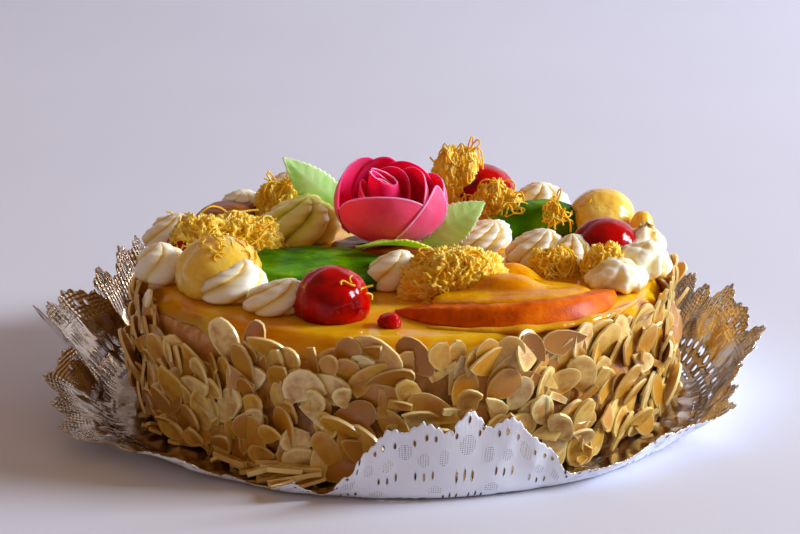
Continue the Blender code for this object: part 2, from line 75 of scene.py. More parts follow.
# The doily, as the solids have it: azimuth, rise of the border in degrees, length of the border.
FLAT_RADIUS = 107.5
FOIL = 0.4
DOILY_SECTORS = 18
BEND = 7.0
LACE_DEPTH = 42.0  # length of border that one repeat of the lace pattern fills
HALF_SECTOR = 22.0  # half the width of one repeat
SHORTEST_LACE = 0.76  # how far out the lace's cut edge comes at least, as a share of the border
UNSTRETCHED = 0.8  # share of the sheet's rows in which the pattern keeps its scale
COLUMNS_PER_SECTOR = 54
BORDER_ROWS = 40
BORDER = [
    (4, 45, 42), (12, 58, 48), (20, 59, 38), (31, 50, 46), (44, 58, 42), (62, 52, 44), (80, 61, 41),
    (98, 52, 44), (116, 60, 42), (134, 56, 46), (150, 68, 54), (160, 66, 43), (170, 49, 48), (179, 47, 50),
    (185, 56, 33), (192, 31, 38), (200, 22, 32), (210, 16, 36), (220, 23, 24), (229, 34, 27), (238, 32, 11),
    (246, 28, 8), (251, 42, 15), (255, 34, 7), (260, 62, 13), (264, 74, 29), (270, 78, 36), (280, 80, 36),
    (288, 79, 36), (294, 74, 22), (299, 50, 11), (304, 38, 18), (312, 44, 20), (325, 41, 21), (333, 34, 31),
    (341, 46, 27), (350, 50, 33), (356, 43, 41),
]

# The cuts of one lace repeat: place across and along it, half width, half length and kind. Slits are open all
# round the sheet and eyes only where it has them. Pins are patches of pinholes, and blank pins replace eyes.
LACE_CUTS = [
    (0, 37.0, 0.5, 1.7, "slit"), (5.5, 33.0, 0.5, 1.5, "slit"), (14.5, 31.0, 0.5, 1.4, "slit"),
    (3.0, 13.2, 0.45, 2.2, "slit"), (0, 14.0, 0.4, 2.4, "slit"), (20.0, 3.4, 1.6, 0.5, "slit"),
    (15.5, 3.4, 1.6, 0.5, "slit"), (2.6, 7.5, 1.15, 1.5, "eye"), (7.8, 7.5, 1.15, 1.5, "eye"),
    (13.0, 7.5, 1.15, 1.5, "eye"), (18.2, 7.5, 1.15, 1.5, "eye"), (5.2, 13.0, 1.15, 1.5, "eye"),
    (10.4, 13.0, 1.15, 1.5, "eye"), (15.6, 13.0, 1.15, 1.5, "eye"), (20.8, 13.0, 1.15, 1.5, "eye"),
    (0, 26.5, 2.9, 4.6, "pins"), (8.4, 21.5, 2.0, 3.6, "pins"), (15.4, 21.0, 2.2, 3.0, "pins"),
    (11.0, 8.0, 3.0, 1.8, "blank pins"), (22.0, 25.0, 2.6, 3.6, "pins"), (2.4, 4.6, 0.3, 1.7, "slit"),
    (5.0, 5.2, 0.3, 1.5, "slit"), (7.4, 4.4, 0.35, 1.2, "slit"), (11.4, 30.2, 0.45, 1.3, "slit"),
    (4.2, 30.6, 0.45, 1.3, "slit"), (18.6, 28.6, 0.45, 1.3, "slit"), (12.0, 14.4, 0.35, 1.6, "slit"),
    (15.2, 13.6, 0.35, 1.5, "slit"), (18.4, 14.0, 0.35, 1.6, "slit"),
]

# Sliced almonds: rows up the side, flakes in a row, and their thickness.
FLAKE_ROWS = 12
FLAKES_PER_ROW = 54
FLAKE_THICKNESS = 1.0
# azimuth, height, length, width, spin of the flakes that stand out over the rim
TALL_FLAKES = [
    (-24, 42, 17, 10, 20), (-14, 42, 19, 9, -14), (-9, 45, 15, 8, 35), (-4, 43, 20, 10, 8),
    (2, 46, 16, 9, -22), (6, 44, 18, 9, 4), (17, 42, 19, 9, -10), (30, 41, 18, 10, 16),
    (150, 39, 18, 10, 10), (166, 38, 19, 9, -12), (184, 39, 19, 10, 18), (196, 39, 18, 9, -8),
    (203, 35, 16, 12, 30), (214, 33, 17, 13, -30), (220, 34, 15, 11, 65), (226, 31, 17, 12, -20),
    (232, 46, 18, 14, 25), (239, 48.5, 17, 8, -22), (247, 43, 11, 10, 5), (251, 34, 17, 14, 50),
    (255, 42, 13, 7, -30), (264.5, 47.5, 20, 13, 72), (272, 44, 14, 9, 60), (279, 46, 18, 10, 62),
    (284, 44, 12, 9, -20), (290, 46, 15, 11, -50), (296, 46, 15, 8, 20), (304, 47, 20, 9, 80),
    (308, 45, 16, 11, -10), (313, 41, 22, 11, -35), (319, 44, 18, 10, 30), (327, 43, 19, 11, -20),
]
SLIVERS = 16  # thin sticks of almond that fell on the doily at the front left
CRUMBS = 46  # small bits round the foot
WHOLE, BROKEN, STICKS = (0, 1, 2, 3, 4), (5, 6, 7, 8, 9), (10, 11, 12)  # numbers of the slices' shapes

# How high above the cake's foot the toppings start: a little way down in the glaze.
FRUIT_FOOT = GLAZE_TOP - 0.6
CREAM_FOOT = GLAZE_TOP - 0.5
SYRUP_FOOT = GLAZE_TOP - 0.4

# name: x, y, radius, height, twist in degrees, lean towards x, lean towards y, ridges
CREAMS = {
    "cream_left_low": (-88, -22, 10.2, 15, 80, -1, -2, 5),
    "cream_left_high": (-88, 18, 12.0, 15, 80, 2, 1, 6),
    "cream_front_a": (-62, -45, 12.3, 14.0, 130, 4, 2, 4),
    "cream_front_b": (-46, -60, 11.0, 12, 95, 6, -1, 5),
    "cream_behind_slice": (-42, 33, 16.0, 18, 70, 5, 0, 6),
    "cream_centre": (-5, -31, 10.0, 14, 70, 4, 0, 5),
    "cream_middle_a": (28, 23, 12.5, 11, 40, 7, -1, 9),
    "cream_middle_b": (49, 3, 11.0, 13, 45, 5, -1, 8),
    "cream_middle_c": (65, -2, 9.5, 12, 40, -2, 0, 8),
    "cream_back_left_a": (-65, 63, 11.0, 13, 80, 0, 0, 6),
    "cream_back_left_b": (-47, 76, 10.5, 18, 80, 0, 0, 6),
    "cream_back_middle": (-14, 84, 10.5, 14, 80, 0, 0, 6),
    "cream_back_right": (56, 72, 11.5, 14, 70, 0, 0, 7),
}
DOLLOP = [(77, -31, 11, 10.5, 40), (88, -14, 10.5, 13, 90), (90, 5, 8.5, 14, 60)]

# name: x, y, radius, height, height of the widest girth, depth of the dents
CHERRIES = {
    "cherry_front": (-25, -66, 13.4, 17.6, 5.0, 0.8),
    "cherry_bit": (-5, -79, 4.2, 5.0, 1.5, 0.5),
    "cherry_right": (76, 4, 13.0, 16.5, 5.0, 0.45),
    "cherry_back": (32, 78, 13.5, 20.0, 8.0, 0.4),
    "cherry_left": (-79, -2, 11.0, 15.0, 5.0, 0.4),
}
APRICOTS = {
    "ball_left": (-67, -35, 15.8, 20.0, 6.0, 0.7),
    "ball_right": (78, 44, 13.4, 18.0, 6.0, 0.9),
    "apricot_drop": (93, 33, 4.6, 12.0, 5.5, 0.2),
}
# name: x, y of the curve's centre, outer radius, width, first and last azimuth, thickness, slant of the outer
# face, how much the slice sinks towards its last azimuth, and roundness of its section
CRESCENTS = {
    "slice_front": (29, -27, 58, 20, 228, 345, 8.0, 0.24, 0.0, 0.36),
    "slice_back_left": (-30, 20, 62, 18, 108, 170, 10.0, 0.1, 0.0, 0.6),
    "green_slice_back": (60, 4, 47, 17, 66, 142, 14.5, 0.0, 0.55, 0.6),
}
# name: x, y, half length, half width, thickness, turn
SLABS = {
    "slice_centre": (-2, 12, 26, 20, 5.0, 12),
    "green_slice_left": (-30, -20, 30, 23, 7.0, -20),
}
POOL_TOP = 4.4  # height of the glaze pool behind the front slice, away from its mounds

# name: x, y, half length, half width, height, how many threads, how far they stand out, squareness of heap
THREAD_HEAPS = {
    "threads_left": (-64, 4, 19.5, 12.5, 17, 110, 0.16, 2.2),
    "threads_left_cherry": (-76, -2, 13, 11.5, 18, 50, 0.14, 2.6),
    "threads_back_left": (-48, 58, 13, 9, 18, 60, 0.22, 2.2),
    "threads_back": (21, 75, 9, 8, 26.5, 80, 0.24, 4),
    "threads_cherry_back": (37, 62, 11.5, 7, 15, 60, 0.25, 2.4),
    "threads_centre": (18, -41, 20, 14, 17, 60, 0.12, 2.4),
    "threads_middle": (55, -14, 10, 8, 9, 26, 0.14, 2),
    "threads_right": (74, -20, 8, 7, 12, 44, 0.24, 2.4),
}
THREAD = 0.75
LOOSE_THREADS = 7  # longer threads in each heap that arch clear of it

ROSE_PLACE = (-5, 17, 5)
ROSE_TILT = 8
ROSE_MIDDLE = 14.0  # height of the cup's widest girth
ROSE_RISE = 14.5  # how far the cup goes on upwards from there
# First and last azimuth, radius at the girth, where along it the lip peaks, height of the peak and of the two
# ends, roundness of the lip on each side of the peak, and how far the petal stands off the rose's own axis.
PETALS = [
    (198, 322, 20.9, 0.55, 24.0, 7, 8, 2.2, 2.2, 0, 0),
    (266, 343, 21.6, 0.86, 24.6, 1, 4, 1.35, 3.0, 0, 0),
    (98, 205, 21.3, 0.42, 28.6, 12, 6, 2.4, 2.6, 0, 0),
    (-32, 66, 21.4, 0.5, 22.0, 5, 9, 2.6, 2.4, 0, 0),
    (22, 106, 18.8, 0.58, 25.2, 8, 11, 2.4, 2.2, 0, 0),
    (72, 136, 20.4, 0.45, 26.6, 10, 10, 2.2, 2.2, 0, 0),
    (-38, 84, 15.2, 0.56, 25.0, 5, 10, 2.3, 2.3, -1, 1),
    (-25, 125, 10.2, 0.55, 24.4, 8, 12, 2.4, 2.4, -3, 3),
    (128, 240, 10.2, 0.4, 21.5, 12, 8, 2.2, 2.2, -2, 3),
]
WAFER = 0.75
# name: base x, y, z, tip x, y, z, half width, roll of the blade in degrees, where along it is widest
LEAVES = {
    "leaf_back": (-22, 37, 9.0, -47, 38, 31.5, 7.5, 110, 0.4),
    "leaf_right": (7, 9, 4.0, 30.5, 13, 20, 8.0, 68, 0.42),
    "leaf_front": (11, -9, 7.0, -18, -12, 9.0, 7.5, 14, 0.3),
}

CAMERA_LENS = 100
CAMERA_AWAY = 838
CAMERA_TILT = 16
CAMERA_AIM = (-1.5, 50)  # x and height of the point that it looks at


# Meshes


def polar(radius, azimuth, height=0.0):
    """A point from its distance to the axis and its azimuth in degrees."""
    turn = math.radians(azimuth)
    return Vector((radius * math.cos(turn), radius * math.sin(turn), height))


def made_object(name, points, faces, materials, place=(0, 0, 0), fields=None, uv=None, edges=()):
    """A named mesh object at the origin, with its place in its mesh and its fields of numbers."""
    data = bpy.data.meshes.new(name)
    offset = Vector(place)
    data.from_pydata([(Vector(point) + offset) * MM for point in points], edges, faces)
    for material in materials:
        data.materials.append(material)
    if uv:
        layer = data.uv_layers.new(name="lace")
        for loop in data.loops:
            layer.data[loop.index].uv = uv[loop.vertex_index]
    data.shade_smooth()
    made = bpy.data.objects.new(name, data)
    bpy.context.scene.collection.objects.link(made)
    give_fields(made, fields or {})
    return made


def face_out(made):
    """Turns every face of a closed mesh outwards."""
    mesh = bmesh.new()
    mesh.from_mesh(made.data)
    bmesh.ops.recalc_face_normals(mesh, faces=mesh.faces)
    mesh.to_mesh(made.data)
    mesh.free()
    return made


def skin(rings):
    """Points and faces of a closed shell through rings, where a ring of one point is a pole."""
    points, faces, starts = [], [], []
    for ring in rings:
        starts.append(len(points))
        points.extend(ring)
    for a, b, low, high in zip(starts, starts[1:], rings, rings[1:]):
        count = max(len(low), len(high))
        for i in range(count):
            j = (i + 1) % count
            if len(low) == 1:
                faces.append((a, b + j, b + i))
            elif len(high) == 1:
                faces.append((a + i, a + j, b))
            else:
                faces.append((a + i, a + j, b + j, b + i))
    for start, ring in ((starts[0], rings[0]), (starts[-1], rings[-1])):
        if len(ring) > 1:
            faces.append(tuple(range(start, start + len(ring))))
    return points, faces


def sheet(rows, wraps=False):
    """Points and faces of an open sheet through rows."""
    count = len(rows[0])
    points = [point for row in rows for point in row]
    faces = []
    for r in range(len(rows) - 1):
        for i in range(count if wraps else count - 1):
            j = (i + 1) % count
            faces.append((r * count + i, r * count + j, (r + 1) * count + j, (r + 1) * count + i))
    return points, faces


def thick(made, thickness, other_side=0):
    """Gives a sheet its wall. other_side is how many slots further on the far face's material is."""
    wall = made.modifiers.new("wall", "SOLIDIFY")
    wall.thickness = thickness * MM
    wall.offset = 0.0
    wall.use_even_offset = True
    wall.material_offset = other_side
    return plain(made)


def plain(made):
    """Turns a piece and its modifiers into a plain mesh."""
    bpy.context.view_layer.update()
    graph = bpy.context.evaluated_depsgraph_get()
    shape = made.evaluated_get(graph)
    baked = bpy.data.meshes.new_from_object(shape, preserve_all_data_layers=True, depsgraph=graph)
    made.modifiers.clear()
    made.data = baked
    return made


def joined(name, parts, materials):
    """One object made of several, which are removed."""
    made = made_object(name, [], [], materials)
    mesh = bmesh.new()
    for part in parts:
        mesh.from_mesh(part.data)
    mesh.to_mesh(made.data)
    mesh.free()
    for part in parts:
        bpy.data.objects.remove(part)
    return made


def give_fields(made, fields):
    """Stores a number for each point of a mesh, under each field's name."""
    for field, values in fields.items():
        made.data.attributes.new(field, "FLOAT", "POINT").data.foreach_set("value", values)


def dress(made, slot, *nodes):
    """A finished piece: it rides on the cake and stands for its solids. Its slot is not used."""
    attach(made, "root")
    if nodes:
        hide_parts(*nodes)
    return made


def eased(table, at):
    """Smooth interpolation in a table of (position, value)."""
    for (a, low), (b, high) in zip(table, table[1:]):
        if a <= at <= b:
            share = (at - a) / (b - a)
            return low + (high - low) * share * share * (3 - 2 * share)
    return table[-1][1]


def rough(point, scale, octaves=3):
    """Fractal noise of about -1 to 1, with features of the given size."""
    return noise.fractal(Vector(point) / scale, 0.7, 2.0, octaves)


# Materials


def hue(code):
    """An sRGB hex colour as linear values."""
    channels = [int(code[i : i + 2], 16) / 255 for i in (1, 3, 5)]
    return (*(c / 12.92 if c <= 0.04045 else ((c + 0.055) / 1.055) ** 2.4 for c in channels), 1.0)


def add(tree, kind, inputs=None, stops=None, **settings):
    """Adds a node with its settings. An input is a value, a socket, or a node that feeds its first output."""
    node = tree.nodes.new(kind)
    for name, value in settings.items():
        setattr(node, name, value)
    for key, value in (inputs or {}).items():
        if isinstance(value, bpy.types.Node):
            value = value.outputs[0]
        if isinstance(value, bpy.types.NodeSocket):
            tree.links.new(value, node.inputs[key])
        else:
            node.inputs[key].default_value = value
    for i, (position, code) in enumerate(stops or ()):
        elements = node.color_ramp.elements
        element = elements[i] if i < len(elements) else elements.new(position)
        element.position = position
        element.color = hue(code)
    return node


def new_material(name, **sockets):
    """A material with values on its shader's own sockets, and the place on the piece in millimetres.

    Patterns read that place, so a noise of scale 0.5 has features about 2 mm across.
    """
    made = bpy.data.materials.new(name)
    made.use_nodes = True
    tree = made.node_tree
    shader = tree.nodes["Principled BSDF"]
    for socket, value in sockets.items():
        shader.inputs[socket.replace("_", " ")].default_value = value
    place = add(tree, "ShaderNodeTexCoord")
    mm = add(tree, "ShaderNodeVectorMath", {0: place.outputs["Object"], "Scale": 1000.0}, operation="SCALE")
    return made, tree, shader, mm.outputs[0]


def surface(tree, shader, colour, height, strength, distance):
    """Gives the shader its colour and a relief of some metres' depth, and returns the relief."""
    bump = add(tree, "ShaderNodeBump", {"Strength": strength, "Distance": distance, "Height": height})
    tree.links.new(colour, shader.inputs["Base Color"])
    tree.links.new(bump.outputs[0], shader.inputs["Normal"])
    return bump.outputs[0]


def almond_slice():
    """Blanched almond, sliced raw: waxy, with a pale cut edge and a heart that is amber in some slices."""
    made, tree, shader, mm = new_material(
        "blanched almond", Roughness=0.3, Subsurface_Weight=0.4, Subsurface_Scale=0.0012, Coat_Weight=0.65,
        Subsurface_Radius=(1.0, 0.8, 0.4), Coat_Roughness=0.14, Coat_IOR=1.35,
    )
    tint = add(tree, "ShaderNodeAttribute", attribute_name="tint")
    edge = add(tree, "ShaderNodeAttribute", attribute_name="edge")
    toasts = [(0.0, "#A86E0E"), (0.25, "#CE9A28"), (0.5, "#E8C052"), (0.75, "#F6DC80"), (1.0, "#FFF4BC")]
    kind = add(tree, "ShaderNodeValToRGB", {0: tint.outputs["Fac"]}, toasts)
    # Syrup ran down the left side more than the right and soaked those slices amber; this darkening towards
    # the left, on the side away from the lamp, is also painted shade.
    place = add(tree, "ShaderNodeSeparateXYZ", {0: mm})
    run = add(tree, "ShaderNodeTexNoise", {"Vector": mm, "Scale": 0.11, "Detail": 3.0})
    patch = add(tree, "ShaderNodeMapRange", {0: run, 1: 0.4, 2: 0.6, 3: 0.15})
    wet = add(tree, "ShaderNodeMapRange", {0: place.outputs["X"], 1: -100.0, 2: 60.0, 4: 0.3})
    left_soak_and_shade = add(tree, "ShaderNodeMath", {0: wet, 1: patch}, operation="MULTIPLY")
    soaked = add(tree, "ShaderNodeMix", {0: left_soak_and_shade, 6: kind, 7: hue("#9A5C04")}, data_type="RGBA")
    grain = add(tree, "ShaderNodeTexNoise", {"Vector": mm, "Scale": 0.16, "Detail": 5.0, "Roughness": 0.6})
    heart = add(tree, "ShaderNodeMapRange", {0: grain, 1: 0.4, 2: 0.62, 3: 0.1, 4: 0.85})
    core = add(tree, "ShaderNodeMapRange", {0: edge.outputs["Fac"], 1: 0.2, 2: 0.75, 3: 1.0, 4: 0.0})
    toast = add(tree, "ShaderNodeMath", {0: core, 1: heart}, operation="MULTIPLY")
    toasted = {0: toast, 6: soaked.outputs[2], 7: hue("#BA7408")}
    darker = add(tree, "ShaderNodeMix", toasted, data_type="RGBA")
    rim = add(tree, "ShaderNodeMapRange", {0: edge.outputs["Fac"], 1: 0.88, 2: 0.99, 4: 0.6})
    cut = add(tree, "ShaderNodeMix", {0: rim, 6: darker.outputs[2], 7: hue("#FFF0B4")}, data_type="RGBA")
    fibre = add(tree, "ShaderNodeTexNoise", {"Vector": mm, "Scale": 1.6, "Detail": 3.0})
    surface(tree, shader, cut.outputs[2], fibre, 0.35, 0.0003)
    return made


def coat_cream():
    """Buttercream soaked with syrup: peach under the rim, golden brown and crumbed lower down, where the
    darker brown is also painted shade in the gaps between the almonds.
    """
    made, tree, shader, mm = new_material(
        "buttercream coat", Roughness=0.4, Subsurface_Weight=0.3, Subsurface_Scale=0.004, Coat_Weight=0.3,
        Subsurface_Radius=(1.0, 0.5, 0.25),
    )
    height = add(tree, "ShaderNodeSeparateXYZ", {0: mm})
    drift = add(tree, "ShaderNodeTexNoise", {"Vector": mm, "Scale": 0.09, "Detail": 4.0})
    shift = add(tree, "ShaderNodeMath", {0: drift, 1: 14.0, 2: height.outputs["Z"]}, operation="MULTIPLY_ADD")
    level = add(tree, "ShaderNodeMapRange", {0: shift, 1: 8.0, 2: 56.0})
    # Darker lower down: syrup-soaked crumb, and painted shade in the gaps between the almonds.
    soak_and_shade_tones = [(0.0, "#66400C"), (0.5, "#8E5C12"), (0.76, "#B27A20"), (0.86, "#E8B284"), (1.0, "#E8A866")]
    tone = add(tree, "ShaderNodeValToRGB", {0: level}, soak_and_shade_tones)
    # Glaze ran down over the cream in thin amber streaks.
    drawn = add(tree, "ShaderNodeVectorMath", {0: mm, 1: (1.0, 1.0, 0.6)}, operation="MULTIPLY")
    streak = add(tree, "ShaderNodeTexNoise", {"Vector": drawn, "Scale": 0.22, "Detail": 5.0})
    run = add(tree, "ShaderNodeMapRange", {0: streak, 1: 0.46, 2: 0.58})
    streaked = add(tree, "ShaderNodeMix", {0: run, 6: tone, 7: hue("#CC8A24")}, data_type="RGBA")
    crumb = add(tree, "ShaderNodeTexNoise", {"Vector": mm, "Scale": 0.8, "Detail": 6.0, "Roughness": 0.7})
    surface(tree, shader, streaked.outputs[2], crumb, 0.6, 0.0008)
    return made


def gel(
    name, stops, scatter, depth, radius, wave=0.12, relief=0.25, wet=1.0, dry=0.15, shine=0.2, patch=0.07,
    edge=None,
):
    """Clear set sugar gel over a coloured body: light comes back out tinted, and the skin is wet and wavy.

    Patch and wave are the scales of its colour and its ripples, relief is their depth in millimetres, and
    edge is the colour that shows through where the gel runs thin over the rim.
    """
    made, tree, shader, mm = new_material(
        name, Roughness=dry, Subsurface_Weight=scatter, Subsurface_Scale=depth, Subsurface_Radius=radius,
        Specular_IOR_Level=shine, Coat_Weight=wet, Coat_Roughness=0.05, Coat_IOR=1.3,
    )
    cloud = add(tree, "ShaderNodeTexNoise", {"Vector": mm, "Scale": patch, "Detail": 5.0, "Roughness": 0.55})
    tone = add(tree, "ShaderNodeValToRGB", {0: cloud}, stops)
    colour = tone.outputs[0]
    if edge:
        height = add(tree, "ShaderNodeSeparateXYZ", {0: mm})
        lifted = {0: cloud, 1: 7.0, 2: height.outputs["Z"]}
        run = add(tree, "ShaderNodeMath", lifted, operation="MULTIPLY_ADD")
        thin = add(tree, "ShaderNodeMapRange", {0: run, 1: 47.0, 2: 51.0, 3: 1.0, 4: 0.0})
        through = add(tree, "ShaderNodeMix", {0: thin, 6: tone, 7: hue(edge)}, data_type="RGBA")
        colour = through.outputs[2]
    ripple = add(tree, "ShaderNodeTexNoise", {"Vector": mm, "Scale": wave, "Detail": 2.0})
    skin_relief = surface(tree, shader, colour, ripple, 0.5, relief * MM)
    tree.links.new(skin_relief, shader.inputs["Coat Normal"])
    return made


def whipped_cream(name, stops, wet):
    """Piped buttercream: ivory and satin, with syrup drawn into the grooves so that they read yellow; that
    yellow in the grooves is also painted shade.
    """
    made, tree, shader, mm = new_material(
        name, Roughness=0.4, Subsurface_Weight=0.6, Subsurface_Scale=0.005, Specular_IOR_Level=0.3,
        Subsurface_Radius=(1.0, 0.85, 0.6), Coat_Weight=wet, Coat_Roughness=0.12,
    )
    groove = add(tree, "ShaderNodeAttribute", attribute_name="groove")
    foot = add(tree, "ShaderNodeAttribute", attribute_name="foot")
    patch = add(tree, "ShaderNodeTexNoise", {"Vector": mm, "Scale": 0.12, "Detail": 3.0})
    # Yellower in the grooves: syrup drawn in, and painted shade in the hollows between the ridges.
    syrup = add(tree, "ShaderNodeMath", {0: groove.outputs["Fac"], 1: patch}, operation="MULTIPLY")
    pooled = {0: syrup, 1: foot.outputs["Fac"]}
    soaked = add(tree, "ShaderNodeMath", pooled, operation="ADD", use_clamp=True)
    tone = add(tree, "ShaderNodeValToRGB", {0: soaked}, stops)
    surface(tree, shader, tone.outputs[0], patch, 0.2, 0.0003)
    return made


def egg_thread():
    """Egg yolk threads boiled in syrup: saturated yellow, wet, each thread a little lighter or darker."""
    made, tree, shader, mm = new_material(
        "egg thread", Roughness=0.45, Subsurface_Weight=0.5, Subsurface_Scale=0.0012, Coat_Weight=0.25,
        Subsurface_Radius=(1.0, 0.8, 0.3), Specular_IOR_Level=0.25, Coat_Roughness=0.12,
    )
    tint = add(tree, "ShaderNodeAttribute", attribute_name="tint")
    patch = add(tree, "ShaderNodeTexNoise", {"Vector": mm, "Scale": 0.16, "Detail": 3.0})
    both = add(tree, "ShaderNodeMath", {0: tint.outputs["Fac"], 1: patch}, operation="ADD")
    half = add(tree, "ShaderNodeMath", {0: both, 1: 0.5}, operation="MULTIPLY")
    yolks = [(0.15, "#F6A400"), (0.36, "#FDBC06"), (0.58, "#FFD02C"), (0.85, "#FFE682")]
    tone = add(tree, "ShaderNodeValToRGB", {0: half}, yolks)
    grain = add(tree, "ShaderNodeTexNoise", {"Vector": mm, "Scale": 1.4, "Detail": 4.0})
    surface(tree, shader, tone.outputs[0], grain, 0.6, 0.0005)
    return made


def wafer(name, body, blush, rim, rim_share, radius):
    """Dyed wafer paper: matt, finely pitted, with a paler cut edge."""
    made, tree, shader, mm = new_material(
        name, Roughness=0.6, Subsurface_Weight=0.8, Subsurface_Scale=0.003, Subsurface_Radius=radius,
        Specular_IOR_Level=0.25, Sheen_Weight=0.1,
    )
    edge = add(tree, "ShaderNodeAttribute", attribute_name="rim")
    patch = add(tree, "ShaderNodeTexNoise", {"Vector": mm, "Scale": 0.14, "Detail": 4.0, "Roughness": 0.6})
    tone = add(tree, "ShaderNodeValToRGB", {0: patch}, [(0.3, body), (0.7, blush)])
    lip = add(tree, "ShaderNodeMapRange", {0: edge.outputs["Fac"], 1: rim_share, 2: 1.0})
    pale = add(tree, "ShaderNodeMix", {0: lip, 6: tone, 7: hue(rim)}, data_type="RGBA")
    pits = add(tree, "ShaderNodeTexNoise", {"Vector": mm, "Scale": 1.8, "Detail": 3.0})
    surface(tree, shader, pale.outputs[2], pits, 0.25, 0.0002)
    return made


def lace(name, metal, colours, roughness, crumple, depth):
    """One face of foil backed paper, die cut and embossed: eyes, slits and pinholes go right through."""
    made, tree, shader, mm = new_material(name, Metallic=metal, Roughness=roughness)
    uv = add(tree, "ShaderNodeUVMap", uv_map="lace")
    eyed = add(tree, "ShaderNodeAttribute", attribute_name="eyes")
    dots = {"Vector": uv, "Scale": 1.15, "Randomness": 0.1}
    pins = add(tree, "ShaderNodeTexVoronoi", dots, voronoi_dimensions="2D")
    pin = add(tree, "ShaderNodeMath", {0: pins, 1: 0.23}, operation="LESS_THAN")
    blank = add(tree, "ShaderNodeMath", {0: 1.0, 1: eyed.outputs["Fac"]}, operation="SUBTRACT")
    holes = {"slit": [], "eye": [eyed.outputs["Fac"]], "pins": [pin], "blank pins": [blank, pin]}
    heights = {"slit": 1.0, "eye": eyed.outputs["Fac"], "pins": 0.12, "blank pins": 0.12}
    cut = emboss = None
    for across, along, wide, tall, kind in LACE_CUTS:
        centre = (across, along, 0)
        away = add(tree, "ShaderNodeVectorMath", {0: uv, 1: centre}, operation="SUBTRACT")
        size = (1 / wide, 1 / tall, 0)
        scaled = add(tree, "ShaderNodeVectorMath", {0: away, 1: size}, operation="MULTIPLY")
        reach = add(tree, "ShaderNodeVectorMath", {0: scaled}, operation="LENGTH").outputs["Value"]
        inside = add(tree, "ShaderNodeMath", {0: reach, 1: 1.0}, operation="LESS_THAN")
        for share in holes[kind]:
            inside = add(tree, "ShaderNodeMath", {0: inside, 1: share}, operation="MULTIPLY")
        ring = add(tree, "ShaderNodeMapRange", {0: reach, 1: 1.5, 2: 1.1})
        raised = add(tree, "ShaderNodeMath", {0: ring, 1: heights[kind]}, operation="MULTIPLY")
        if cut is None:
            cut, emboss = inside, raised
        else:
            cut = add(tree, "ShaderNodeMath", {0: cut, 1: inside}, operation="MAXIMUM")
            emboss = add(tree, "ShaderNodeMath", {0: emboss, 1: raised}, operation="MAXIMUM")
    whole = add(tree, "ShaderNodeMath", {0: cut, 1: 0.5}, operation="LESS_THAN")
    tree.links.new(whole.outputs[0], shader.inputs["Alpha"])
    patch = add(tree, "ShaderNodeTexNoise", {"Vector": mm, "Scale": 0.07, "Detail": 5.0})
    tone = add(tree, "ShaderNodeValToRGB", {0: patch}, [(0.35, colours[0]), (0.65, colours[1])])
    # Painted shade and reflection: the foil at the left, most of it low down, is toned the brown of the
    # shaded cake side that it mirrors.
    place = add(tree, "ShaderNodeSeparateXYZ", {0: mm})
    left = add(tree, "ShaderNodeMapRange", {0: place.outputs["X"], 1: -70.0, 2: -105.0, 4: metal})
    out = add(tree, "ShaderNodeSeparateXYZ", {0: uv}).outputs["Y"]
    low = add(tree, "ShaderNodeMapRange", {0: out, 1: 10.0, 2: 36.0, 3: 0.75, 4: 0.1})
    brown = add(tree, "ShaderNodeMath", {0: left, 1: low}, operation="MULTIPLY")
    painted_reflection_toned = add(tree, "ShaderNodeMix", {0: brown, 6: tone, 7: hue("#72522E")}, data_type="RGBA")
    # Broad crumpled facets, small beads towards the edge, and the raised rings round the cuts.
    facets = add(tree, "ShaderNodeTexVoronoi", {"Vector": mm, "Scale": 0.1}, feature="F1")
    grid = {"Vector": uv, "Scale": 0.6, "Randomness": 0.15}
    beads = add(tree, "ShaderNodeTexVoronoi", grid, voronoi_dimensions="2D")
    lively = add(tree, "ShaderNodeMapRange", {0: out, 1: 22.0, 2: 36.0, 3: 0.02, 4: 0.9})
    beaded = add(tree, "ShaderNodeMath", {0: beads, 1: lively}, operation="MULTIPLY")
    relief = emboss
    for bumps in (facets, beaded):
        layer = {0: bumps, 1: crumple, 2: relief}
        relief = add(tree, "ShaderNodeMath", layer, operation="MULTIPLY_ADD")
    surface(tree, shader, painted_reflection_toned.outputs[2], relief, 1.0, depth)
    return made


ALMOND = almond_slice()
COAT = coat_cream()
YOLK_GLAZE = gel(
    "yolk glaze", [(0.3, "#DE8C00"), (0.5, "#EEA808"), (0.7, "#F8C024")], 0.7, 0.008, (1.0, 0.55, 0.04),
    relief=0.4, wet=0.6, shine=0.08, edge="#D89A4C",
)
# Where it lies deep the same glaze is darker, and its skin dried in small ripples.
DEEP_GLAZE = gel(
    "deep yolk glaze", [(0.3, "#C87000"), (0.5, "#E09000"), (0.7, "#F2AE08")], 0.6, 0.008, (1.0, 0.55, 0.02),
    wave=0.22, relief=1.1, wet=0.55, dry=0.2, shine=0.0,
)
SYRUP = gel(
    "sugar syrup", [(0.3, "#D88A04"), (0.7, "#F2B424")], 0.6, 0.006, (1.0, 0.55, 0.04),
    wave=0.35, relief=0.9, wet=1.0, dry=0.1, shine=0.3,
)
CHERRY = gel(
    "glace cherry", [(0.3, "#6A0000"), (0.5, "#AA0001"), (0.75, "#D20002")], 0.8, 0.006, (1.0, 0.03, 0.01),
    wave=0.25, relief=0.5, wet=0.7, shine=0.05, patch=0.1,
)
APRICOT = gel(
    "candied apricot", [(0.3, "#EEBC30"), (0.55, "#F8D25C"), (0.8, "#FCE48E")],
    0.75, 0.006, (1.0, 0.68, 0.15), wave=0.4, relief=0.9, wet=0.9, dry=0.25,
)
